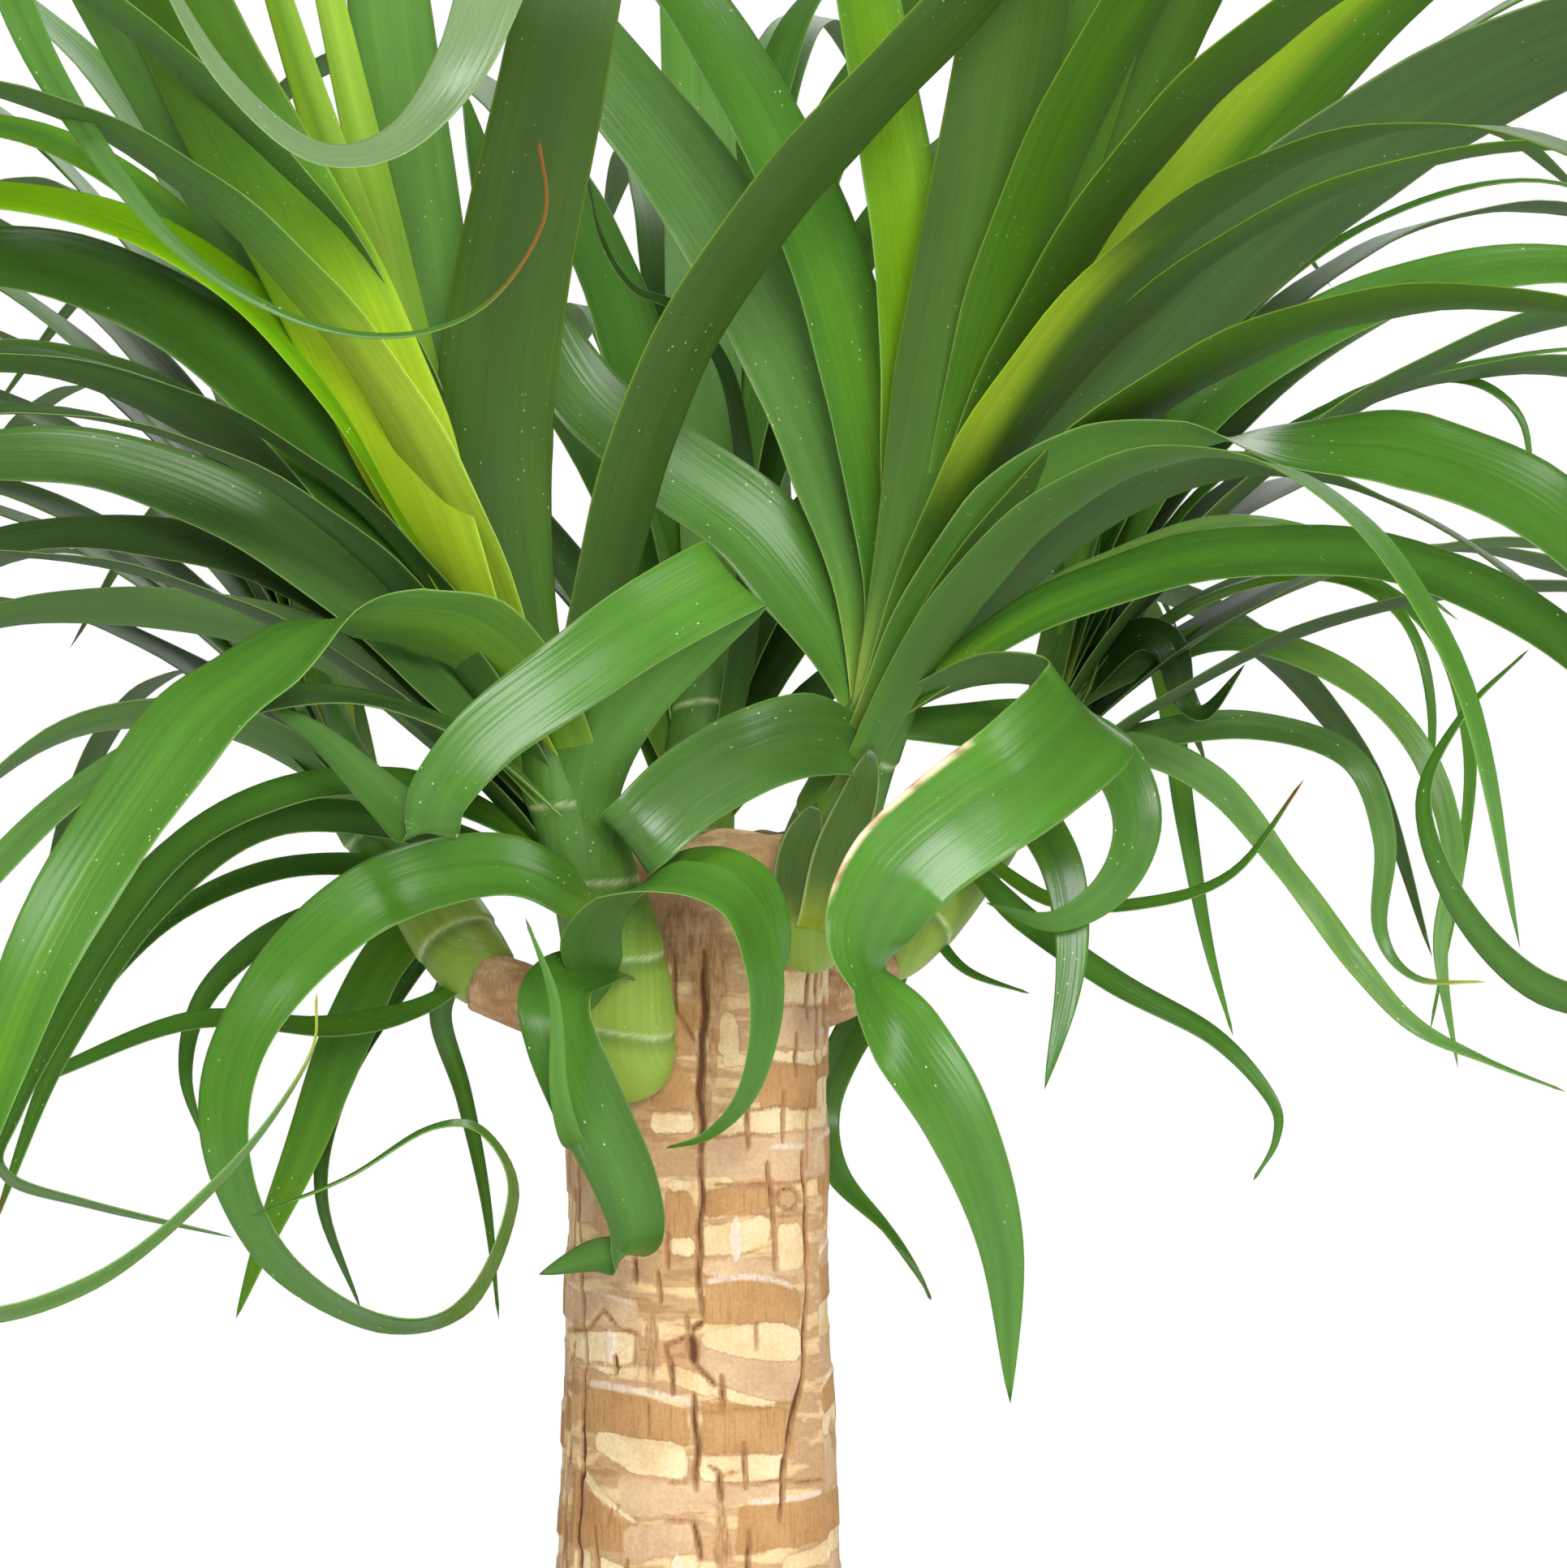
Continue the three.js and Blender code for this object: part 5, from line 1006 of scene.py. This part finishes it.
POT_HEIGHT = 200
POT_FOOT_RADIUS = 77
POT_BODY_RADIUS = 109
POT_RIM_RADIUS = 118
POT_RIM_BAND = 38
POT_WALL = 7
POT_FLOOR = 9
POT_SIDES = 192
POT_EDGE, FOOT_EDGE, BAND_EDGE, FLOOR_EDGE = 3.4, 3.2, 1.4, 6  # how far its edges are rounded
POT_STEP = 6
POT_WOBBLE = 0.12
AXIS_RING = 6  # the radius where a turned skin closes to its middle
DRAIN_HOLES = 3
DRAIN_RADIUS = 4.5
DRAIN_RING = 42
DRILL_SIDES = 40
DRILL_FOOT, DRILL_TOP = -12.0, 24.0
SOIL_TOP = 182
SOIL_GAP = 0.5  # from the pot's wall
SOIL_EDGE = 0.6
RECESS_RADIUS, RECESS_FOOT_RADIUS, RECESS_LIP = 67, 60.4, 176
UNDER_SOIL = 0.4


def pot_inner(height):
    """The inner radius of the pot's sloping wall at a height."""
    slope = (POT_BODY_RADIUS - POT_FOOT_RADIUS) / (POT_HEIGHT - POT_RIM_BAND)
    return POT_FOOT_RADIUS + slope * height - POT_WALL


def rounded(outline, steps=5):
    """An outline of radius, height and how far each corner is rounded off, by a parabola between two
    points at that distance from it: (1-t)^2 a + 2t(1-t) corner + t^2 b."""
    corners = np.array([row[:2] for row in outline], float)
    made = []
    for i, (_, _, cut) in enumerate(outline):
        if cut == 0:
            made.append(corners[i][None])
            continue
        a = corners[i] + unit(corners[i - 1] - corners[i]) * cut
        b = corners[i] + unit(corners[i + 1] - corners[i]) * cut
        t = np.linspace(0, 1, steps)[:, None]
        made.append((1 - t) ** 2 * a + 2 * t * (1 - t) * corners[i] + t * t * b)
    return np.vstack(made)


def turned_rings(outline, sides, wobble=0):
    """An outline carried round the vertical, its radius swelled by a slow wave of that many mm."""
    angle = full_turn(sides)
    radius = outline[:, :1] + wobble * np.sin(3 * angle + outline[:, 1:] / 60)
    return np.stack([radius * np.cos(angle), radius * np.sin(angle),
        np.broadcast_to(outline[:, 1:], radius.shape)], axis=-1)


def pot_piece(finish):
    """The pot turned about the vertical from its rounded outline, less round drain holes."""
    band_foot = POT_HEIGHT - POT_RIM_BAND
    outline = rounded([
        (AXIS_RING, 0, 0), (POT_FOOT_RADIUS, 0, FOOT_EDGE), (POT_BODY_RADIUS, band_foot, BAND_EDGE),
        (POT_RIM_RADIUS, band_foot, POT_EDGE), (POT_RIM_RADIUS, POT_HEIGHT, POT_EDGE),
        (pot_inner(POT_HEIGHT), POT_HEIGHT, POT_EDGE), (pot_inner(POT_FLOOR), POT_FLOOR, FLOOR_EDGE),
        (AXIS_RING, POT_FLOOR, 0)])
    dense = [np.linspace(a, b, max(2, int(np.linalg.norm(b - a) / POT_STEP)), endpoint=False)
        for a, b in zip(outline[:-1], outline[1:])]
    outline = np.vstack([*dense, outline[-1:]])
    shape = Shape()
    shape.skin(turned_rings(outline, POT_SIDES, POT_WOBBLE), np.zeros(3), UP * POT_FLOOR)
    pot = shape.piece("clay_pot", finish, "fired_clay", "pot")
    ends = np.array([[DRAIN_RADIUS, DRILL_FOOT], [DRAIN_RADIUS, DRILL_TOP]])
    for hole in range(DRAIN_HOLES):
        angle = 2 * math.pi * hole / DRAIN_HOLES + math.pi / 2
        away = np.array([DRAIN_RING * math.cos(angle), DRAIN_RING * math.sin(angle), 0])
        drill = Shape()
        rings = turned_rings(ends, DRILL_SIDES) + away
        drill.skin(rings, away + UP * DRILL_FOOT, away + UP * DRILL_TOP)
        tool = added("drain_drill", drill.mesh("drain_drill"))
        cut = pot.modifiers.new("drain", "BOOLEAN")
        cut.operation, cut.solver, cut.object = "DIFFERENCE", "EXACT", tool
        bpy.context.view_layer.update()
        drilled = pot.evaluated_get(bpy.context.evaluated_depsgraph_get())
        done = bpy.data.meshes.new_from_object(drilled)
        pot.modifiers.clear()
        pot.data = done
        bpy.data.objects.remove(tool)


SOIL_SIDES = 180
SOIL_RINGS = 44
# The sines of the soil's surface: their length and height.
SOIL_SINES = [(31, 0.9), (17, 0.6), (9, 0.5), (5, 0.35), (3.1, 0.22)]
SINES_OF_A_SIZE = 4
SOIL_SEED = 8
SWELL_HEIGHT, SWELL_FROM, SWELL_WIDTH = 2.2, 68, 38
CRUMB_RISES = [-58, -20, 20, 58]  # of a crumb's four rings, in degrees
CRUMB_SIDES = 7
CRUMB_FLATNESS = 0.7
CRUMB_POLE = 0.9  # how far its top and bottom reach, of its size and flatness
CRUMB_RAISED = 0.25  # how far its middle lies above the soil, of its size
CRUMBS_FROM = 72  # the radius where the trunk's foot leaves room for them
CRUMBS_CLEAR = 1.5  # of the pot's wall


def soil_height(x, y):
    """The soil's surface: a low ring-shaped swell and sines of x and y down to crumb size."""
    rnd = np.random.default_rng(SOIL_SEED)
    across = np.clip((np.hypot(x, y) - SWELL_FROM) / SWELL_WIDTH, 0, 1)
    total = SWELL_HEIGHT * np.sin(np.pi * across)
    for size, tall in SOIL_SINES:
        for _ in range(SINES_OF_A_SIZE):
            turn = rnd.uniform(0, 2 * np.pi)
            along = x * math.cos(turn) + y * math.sin(turn)
            total = total + tall / 2 * np.sin(2 * np.pi * along / size + rnd.uniform(0, 2 * np.pi))
    return SOIL_TOP + total


def soil_skin(shape):
    """A filling turned about the vertical, with a round recess for the trunk's foot."""
    outer = pot_inner(SOIL_TOP) - SOIL_GAP
    low, foot = POT_FLOOR + UNDER_SOIL, TRUNK_FOOT - UNDER_SOIL
    side = [(pot_inner(low) - SOIL_EDGE, low), (outer, SOIL_TOP)]
    top = [(radius, None) for radius in np.linspace(outer - SOIL_EDGE, RECESS_RADIUS, SOIL_RINGS)]
    recess = [(RECESS_RADIUS - SOIL_EDGE, RECESS_LIP), (RECESS_FOOT_RADIUS, foot)]
    angle = full_turn(SOIL_SIDES)
    rings = []
    for radius, height in side + top + recess:
        x, y = radius * np.cos(angle), radius * np.sin(angle)
        z = soil_height(x, y) if height is None else np.full(x.shape, float(height))
        rings.append(np.stack([x, y, z], axis=-1))
    shape.skin(np.array(rings), UP * low, UP * foot)


def crumb_piece(name, finish, count, small, large, seed):
    """Crumbs on the soil: each a ball of four rings of seven points, its radius drawn for each point,
    squashed, turned about the vertical and set half into the surface."""
    rnd = np.random.default_rng(seed)
    rise = np.radians(CRUMB_RISES)[:, None]
    turn = full_turn(CRUMB_SIDES)
    ball = np.stack([np.cos(rise) * np.cos(turn), np.cos(rise) * np.sin(turn),
        np.sin(rise) + 0 * turn], axis=-1)
    shape = Shape()
    for _ in range(count):
        size = small + (large - small) * rnd.random() ** 3
        edge = pot_inner(SOIL_TOP) - CRUMBS_CLEAR - size
        out = math.sqrt(rnd.uniform(CRUMBS_FROM**2, edge**2))
        way = rnd.uniform(0, 2 * np.pi)
        x, y = out * math.cos(way), out * math.sin(way)
        spread = np.array([1, rnd.uniform(0.6, 1), CRUMB_FLATNESS * rnd.uniform(0.7, 1.1)])
        lumps = ball * rnd.uniform(0.72, 1.12, ball.shape[:2])[..., None] * spread * size
        c, s = math.cos(way * 7), math.sin(way * 7)
        lumps = lumps @ np.array([[c, s, 0], [-s, c, 0], [0, 0, 1]])
        centre = np.array([x, y, float(soil_height(np.array(x), np.array(y))) + CRUMB_RAISED * size])
        pole = UP * size * CRUMB_FLATNESS * CRUMB_POLE
        tone = np.full(ball.shape[:2], rnd.random())
        shape.skin(lumps + centre, centre - pole, centre + pole, tone=tone)
    shape.piece(name, finish, "soil")


# Finishes.


class Nodes:
    """The shader nodes of one tree: each call adds a node and gives one of its outputs."""

    def __init__(self, tree):
        self.tree = tree

    def put(self, socket, value):
        """Links a socket to an output, or sets its own value."""
        if isinstance(value, bpy.types.NodeSocket):
            self.tree.links.new(value, socket)
        elif socket.type == "RGBA":
            socket.default_value = (*value, 1)
        else:
            socket.default_value = value

    def made(self, kind, inputs, output=0, **settings):
        """A node with its settings, and its inputs by name or number."""
        node = self.tree.nodes.new("ShaderNode" + kind)
        for key, value in settings.items():
            setattr(node, key, value)
        for key, value in inputs.items():
            self.put(node.inputs[key], value)
        return node.outputs[output]

    def attribute(self, name, output="Vector"):
        """What each point of the mesh carries under that name."""
        return self.made("Attribute", {}, output, attribute_name=name)

    def part(self, vector, axis):
        """One of a vector's three numbers."""
        return self.made("SeparateXYZ", {0: vector}, axis)

    def stretched(self, vector, x, y, z):
        """A vector times a number for each axis."""
        return self.made("Mapping", {"Vector": vector, "Scale": (x, y, z)})

    def place(self):
        """The place on the object, in metres."""
        return self.made("TexCoord", {}, "Object")

    def millimetres(self):
        """The place on the object, in millimetres."""
        return self.stretched(self.place(), 1 / MM, 1 / MM, 1 / MM)

    def noise(self, vector, scale, detail=3.0, roughness=0.55):
        """A smooth random field of a vector."""
        return self.made("TexNoise", {"Vector": vector, "Scale": scale, "Detail": detail,
            "Roughness": roughness}, "Fac")

    def cells(self, vector, scale):
        """How far the nearest of many scattered points is."""
        return self.made("TexVoronoi", {"Vector": vector, "Scale": scale}, "Distance")

    def reckoned(self, kind, *numbers):
        """A sum of that kind of one, two or three numbers."""
        return self.made("Math", dict(enumerate(numbers)), operation=kind)

    def times(self, a, b):
        """The product of two numbers."""
        return self.reckoned("MULTIPLY", a, b)

    def plus(self, a, b):
        """Two numbers together."""
        return self.reckoned("ADD", a, b)

    def minus(self, a, b):
        """One number less another."""
        return self.reckoned("SUBTRACT", a, b)

    def scaled(self, a, factor, more):
        """A number times a factor, plus more."""
        return self.reckoned("MULTIPLY_ADD", a, factor, more)

    def between(self, value, low, high, first=0.0, last=1.0):
        """The first number at low, the last one at high and an even S between."""
        return self.made("MapRange", {0: value, 1: low, 2: high, 3: first, 4: last},
            interpolation_type="SMOOTHSTEP")

    def mix(self, share, a, b, blend="MIX"):
        """A colour a share of the way from one to another, or to their product."""
        return self.made("Mix", {0: share, 6: a, 7: b}, 2, data_type="RGBA", blend_type=blend)

    def ramp(self, value, *stops):
        """A colour by a number, from stops of a number and a colour each."""
        node = self.tree.nodes.new("ShaderNodeValToRGB")
        self.put(node.inputs[0], value)
        line = node.color_ramp
        while len(line.elements) < len(stops):
            line.elements.new(0.5)
        for element, (at, colour) in zip(line.elements, stops):
            element.position, element.color = at, (*colour, 1)
        return node.outputs[0]

    def bump(self, height, distance, strength):
        """The surface's direction with a relief on it, its height times a distance in millimetres."""
        return self.made("Bump", {"Distance": distance * MM, "Strength": strength, "Height": height})


class Finish(Nodes):
    """The nodes of a new material."""

    def __init__(self, name):
        self.material = bpy.data.materials.new(name)
        self.material.use_nodes = True
        super().__init__(self.material.node_tree)

    def surface(self, **values):
        """Sets the surface's inputs and gives the material."""
        shader = self.tree.nodes["Principled BSDF"]
        for name, value in values.items():
            self.put(shader.inputs[name.replace("_", " ")], value)
        return self.material


def leaf_finish():
    """Glossy strap leaves: fine veins and a few broad streaks along the blade, faint mottling, and
    small pale flecks on the upper face."""
    leaf = Finish("leaf_skin")
    fibre, gloss = leaf.attribute("fibre"), leaf.attribute("gloss", "Fac")
    veins = leaf.noise(leaf.stretched(fibre, 0.9, 0.012, 1), 1, 1)
    streaks = leaf.noise(leaf.stretched(fibre, 0.34, 0.006, 1), 1, 2)
    mottle = leaf.noise(leaf.stretched(fibre, 0.12, 0.05, 1), 1, 4)
    shade = leaf.scaled(veins, 0.34, 0.83)
    shade = leaf.scaled(streaks, 0.3, leaf.minus(shade, 0.15))
    shade = leaf.scaled(mottle, 0.26, leaf.minus(shade, 0.13))
    colour = leaf.mix(1.0, leaf.attribute("tint", "Color"), shade, "MULTIPLY")
    spots = leaf.stretched(fibre, 0.5, 0.3, 1)
    near = leaf.between(leaf.cells(spots, 1), 0.11, 0.055)
    some = leaf.between(leaf.noise(leaf.stretched(fibre, 0.035, 0.02, 1), 1, 1), 0.5, 0.62)
    bladed = leaf.between(gloss, 0.2, 0.95, 0.45, 0.85)
    fleck = leaf.times(leaf.times(near, some), bladed)
    colour = leaf.mix(fleck, colour, linear(186, 206, 160))
    rough = leaf.scaled(gloss, -0.34, 0.62)
    rough = leaf.scaled(mottle, 0.12, leaf.minus(rough, 0.06))
    ribs = leaf.bump(veins, 0.16, 0.55)
    return leaf.surface(Base_Color=colour, Roughness=rough, Normal=ribs, Specular_IOR_Level=0.28)


def bark_finish():
    """Layered bark: tan faces with fine upright fibres, pinkish and smooth cream layers, pale broken
    rims, brown torn knots, and soft brown cracks with a darker core."""
    bark = Finish("layered_bark")
    millimetres = bark.millimetres()
    layers, marks = bark.attribute("layers"), bark.attribute("marks")
    tan, pink, cream = (bark.part(layers, axis) for axis in range(3))
    rim, crack, knot = (bark.part(marks, axis) for axis in range(3))
    slow = bark.noise(millimetres, 0.16, 1.5)
    torn = bark.noise(bark.stretched(millimetres, 1.3, 1.3, 0.3), 1, 3, 0.6)
    hatch = bark.noise(bark.stretched(millimetres, 1.9, 1.9, 0.1), 1, 3, 0.6)
    cloud = bark.noise(millimetres, 0.075, 4)
    fine = bark.noise(millimetres, 1.1, 3, 0.6)
    drift = bark.scaled(slow, 2.6, bark.scaled(torn, 1.2, -1.9))
    strata = bark.noise(bark.stretched(millimetres, 0.05, 0.05, 0.22), 1, 3)

    def laid(field, soft, moved=1.0):
        """Where a layer lies: its field moved by the drift, with a soft edge."""
        return bark.between(bark.scaled(drift, moved, field), -soft, soft)

    colour = bark.ramp(strata, (0.36, linear(184, 142, 98)), (0.42, linear(206, 166, 116)),
        (0.52, linear(196, 158, 118)), (0.56, linear(222, 186, 136)), (0.64, linear(238, 206, 154)))
    face = bark.ramp(cloud, (0.35, linear(184, 138, 86)), (0.65, linear(200, 156, 104)))
    face = bark.mix(bark.between(hatch, 0.5, 0.34, 0.0, 0.5), face, linear(164, 118, 72))
    colour = bark.mix(laid(tan, 0.3), colour, face)
    under = bark.ramp(cloud, (0.35, linear(200, 164, 128)), (0.65, linear(224, 190, 148)))
    colour = bark.mix(laid(pink, 0.35), colour, under)
    # A thin brown line along the edges of the cream layer, where the bark steps down to it: partly the
    # bark's own outline, partly painted shade at the step.
    edge = bark.reckoned("ABSOLUTE", bark.scaled(drift, 1.0, cream))
    edge = bark.times(bark.between(edge, 0.5, 0.1, 0.0, 0.45), bark.between(slow, 0.4, 0.55))
    colour = bark.mix(edge, colour, linear(150, 106, 66))
    bare = bark.ramp(cloud, (0.35, linear(226, 192, 140)), (0.6, linear(244, 220, 176)))
    colour = bark.mix(laid(cream, 0.25), colour, bare)
    pale = bark.times(laid(rim, 0.4, 0.2), bark.between(torn, 0.34, 0.6, 0.35, 0.75))
    colour = bark.mix(pale, colour, linear(240, 222, 206))
    colour = bark.mix(1.0, colour, bark.between(fine, 0.3, 0.7, 0.73, 0.87), "MULTIPLY")
    worn = bark.scaled(slow, 0.9, bark.minus(knot, 0.45))
    worn = bark.times(bark.between(worn, 0.3, 0.62), 0.75)
    brown = bark.ramp(torn, (0.35, linear(122, 84, 52)), (0.65, linear(186, 144, 100)))
    colour = bark.mix(worn, colour, brown)
    rough_edge = bark.scaled(torn, 1.1, bark.minus(crack, 0.55))
    colour = bark.mix(bark.between(rough_edge, 0.75, -0.1, 0.0, 0.75), colour, linear(160, 116, 74))
    colour = bark.mix(bark.between(rough_edge, -0.05, -0.5), colour, linear(98, 64, 40))
    height = bark.scaled(hatch, 0.25, bark.times(slow, 0.6))
    height = bark.scaled(laid(tan, 0.5), 0.3, height)
    height = bark.plus(height, bark.between(rough_edge, -0.3, 0.3, 0.0, 0.7))
    return bark.surface(Base_Color=colour, Roughness=bark.between(cloud, 0.3, 0.7, 0.88, 0.74),
        Normal=bark.bump(height, 0.7, 0.6), Specular_IOR_Level=0.25)


def clay_finish():
    """Fired clay: warm, faintly clouded, with lime bloom near the foot and under the rim, fine
    turning marks and pin holes."""
    clay = Finish("fired_clay")
    millimetres = clay.millimetres()
    height = clay.part(millimetres, 2)
    cloud = clay.noise(millimetres, 0.02, 4)
    grain = clay.noise(millimetres, 0.9, 3)
    marks = clay.noise(clay.stretched(millimetres, 0.01, 0.01, 0.55), 1, 4, 0.65)
    colour = clay.ramp(cloud, (0.3, linear(176, 98, 64)), (0.55, linear(196, 116, 78)),
        (0.75, linear(208, 134, 96)))
    colour = clay.mix(clay.between(marks, 0.35, 0.65, 0.0, 0.3), colour, linear(172, 96, 64))
    low = clay.between(height, 44, 4)
    lip = clay.between(clay.reckoned("ABSOLUTE", clay.minus(height, 160)), 16, 0, 0.0, 0.5)
    where = clay.scaled(clay.reckoned("MAXIMUM", low, lip), 0.4,
        clay.noise(millimetres, 0.05, 5, 0.65))
    bloom = clay.between(where, 0.58, 0.86, 0.0, 0.65)
    colour = clay.mix(bloom, colour, linear(222, 196, 176))
    colour = clay.mix(clay.between(grain, 0.62, 0.7, 0.0, 0.25), colour, linear(132, 70, 46))
    pits = clay.between(clay.cells(millimetres, 0.22), 0.16, 0.05)
    relief = clay.minus(clay.scaled(marks, 1.2, clay.times(grain, 0.3)),
        clay.times(pits, 0.7))
    return clay.surface(Base_Color=colour, Roughness=clay.between(cloud, 0.3, 0.7, 0.78, 0.92),
        Normal=clay.bump(relief, 0.3, 0.6), Specular_IOR_Level=0.3)


def soil_finish():
    """Dark, crumbly soil with a few paler fibres."""
    soil = Finish("potting_soil")
    millimetres = soil.millimetres()
    crumb = soil.noise(millimetres, 0.45, 5, 0.7)
    fibre = soil.noise(soil.stretched(millimetres, 1.6, 0.25, 0.6), 1, 3)
    colour = soil.ramp(crumb, (0.3, linear(30, 20, 14)), (0.55, linear(62, 43, 30)),
        (0.75, linear(96, 72, 52)))
    colour = soil.mix(soil.between(fibre, 0.62, 0.7, 0.0, 0.6), colour, linear(126, 94, 62))
    return soil.surface(Base_Color=colour, Roughness=soil.between(crumb, 0.3, 0.7, 0.96, 0.85),
        Normal=soil.bump(crumb, 1.2, 1.0), Specular_IOR_Level=0.2)


def crumb_finish(name, dark, light):
    """Crumbs, each with a tone of its own between two colours, and grainy."""
    crumb = Finish(name)
    grain = crumb.noise(crumb.millimetres(), 1.1, 4, 0.7)
    colour = crumb.mix(crumb.attribute("tone", "Fac"), dark, light)
    colour = crumb.mix(1.0, colour, crumb.between(grain, 0.3, 0.7, 0.65, 1.2), "MULTIPLY")
    return crumb.surface(Base_Color=colour, Roughness=crumb.between(grain, 0.3, 0.7, 0.95, 0.8),
        Normal=crumb.bump(grain, 0.5, 0.8), Specular_IOR_Level=0.2)


def floor_finish():
    """A pale floor that fades to the white of its surroundings, in what the camera sees of it."""
    floor = Finish("pale_floor")
    place = floor.place()
    across, deep = floor.part(place, 0), floor.part(place, 1)
    out = floor.plus(floor.times(across, across), floor.times(deep, deep))
    seen = floor.made("LightPath", {}, "Is Camera Ray")
    glow = floor.times(floor.between(floor.reckoned("SQRT", out), 0.35, 1.5), seen)
    plain = floor.ramp(floor.noise(place, 1.2, 2), (0.3, linear(240, 240, 240)),
        (0.7, linear(246, 246, 246)))
    return floor.surface(Base_Color=floor.mix(glow, plain, (0.0, 0.0, 0.0)), Roughness=0.9,
        Specular_IOR_Level=0.1, Emission_Color=(1.0, 1.0, 1.0), Emission_Strength=glow)


# The scene.

CAMERA_AT = Vector((0.01884, -1.6, 0.5199))
CAMERA_REACH = 50
VIEW_HEIGHT = 0.345  # that the photo shows in the plane through the trunk
SENSOR = 36
FLOOR_RADIUS, FLOOR_DEPTH, FLOOR_SIDES = 3000.0, 4.0, 128
# The strength of the white surroundings: as light, and in what glossy surfaces mirror of them.
WORLD_LIGHT = 0.4
WORLD_GLOSS = 0.14
LEAFY_ROOM = (0.7, 1.0, 0.55)  # the colour of what glossy leaves mirror: mostly other leaves
# Each lamp's place, the width of its disk in metres and its watts. All look at the plant's middle.
AIM = Vector((0, 0, 0.5))
LAMPS = {
    "key": ((0.32, -2.65, 1.1), 0.8, 45),
    "window": ((-1.75, -1.75, 2.35), 0.8, 32),
    "fill": ((2.3, -1.2, 1.4), 0.9, 22),
    "top": ((0.3, -1.6, 2.7), 1.0, 34),
    "back": ((0.5, 2.2, 1.8), 1.3, 12),
}


def photo_camera():
    """A level camera at the photo's viewing angle."""
    camera = bpy.data.cameras.new("camera")
    camera.sensor_width = SENSOR
    camera.lens = SENSOR * -CAMERA_AT.y / VIEW_HEIGHT
    camera.clip_end = CAMERA_REACH
    obj = added("camera", camera)
    obj.location = CAMERA_AT
    obj.rotation_euler = (math.pi / 2, 0, 0)
    bpy.context.scene.camera = obj


def round_floor():
    """A flat round floor with its top at height 0."""
    shape = Shape()
    edge = np.array([[FLOOR_RADIUS, -FLOOR_DEPTH], [FLOOR_RADIUS, 0.0]])
    shape.skin(turned_rings(edge, FLOOR_SIDES), UP * -FLOOR_DEPTH, UP * 0)
    floor = added("floor", shape.mesh("floor"))
    floor.data.polygons.foreach_set("use_smooth", np.zeros(len(floor.data.polygons), bool))
    floor.data.materials.append(floor_finish())


def surroundings():
    """White surroundings: full white to the camera, dimmer as light, and greenish where mirrored."""
    world = bpy.data.worlds.new("white_room")
    world.use_nodes = True
    room = Nodes(world.node_tree)
    seen, mirrored = (room.made("LightPath", {}, "Is %s Ray" % ray) for ray in ("Camera", "Glossy"))
    strength = room.scaled(seen, 1 - WORLD_LIGHT, WORLD_LIGHT)
    strength = room.scaled(mirrored, WORLD_GLOSS - WORLD_LIGHT, strength)
    back = world.node_tree.nodes["Background"].inputs
    room.put(back["Color"], room.mix(mirrored, (1, 1, 1), LEAFY_ROOM))
    room.put(back["Strength"], strength)
    bpy.context.scene.world = world
    bpy.context.scene.view_settings.view_transform = "Standard"


def soft_lamp(name, at, size, watts):
    """A round area lamp that looks at the plant."""
    lamp = bpy.data.lights.new(name, "AREA")
    lamp.shape, lamp.size, lamp.energy = "DISK", size, watts
    obj = added(name, lamp)
    obj.location = at
    obj.rotation_euler = (AIM - Vector(at)).to_track_quat("-Z", "Y").to_euler()


photo_camera()
round_floor()
surroundings()
for name, lamp in LAMPS.items():
    soft_lamp(name, *lamp)

green = leaf_finish()
number = 0
for node, stem, table, rule in HEADS:
    shape = Shape()
    stem_skin(shape, stem, number)
    leaves = [drawn_leaf(*row, stem=stem) for row in table] + list(rule_leaves(node, stem, *rule))
    for leaf in leaves:
        number += 1
        blade(shape, leaf, number)
    shape.piece(node.replace("head", "leaves"), green, "leaf", node)

shape = Shape()
trunk_skin(shape)
for seed, route in enumerate(STUBS):
    stub_skin(shape, route, FIRST_STUB_SEED + seed)
shape.piece("barked_trunk", bark_finish(), "bark", "trunk")

pot_piece(clay_finish())
shape = Shape()
soil_skin(shape)
shape.piece("soil_bed", soil_finish(), "soil", "soil")
dark, light = linear(40, 27, 18), linear(110, 80, 54)
crumb_piece("soil_crumbs", crumb_finish("soil_crumb", dark, light), 1500, 0.7, 3.2, 31)
dark, light = linear(190, 186, 178), linear(236, 234, 228)
crumb_piece("perlite_bits", crumb_finish("perlite", dark, light), 70, 0.8, 2.0, 32)
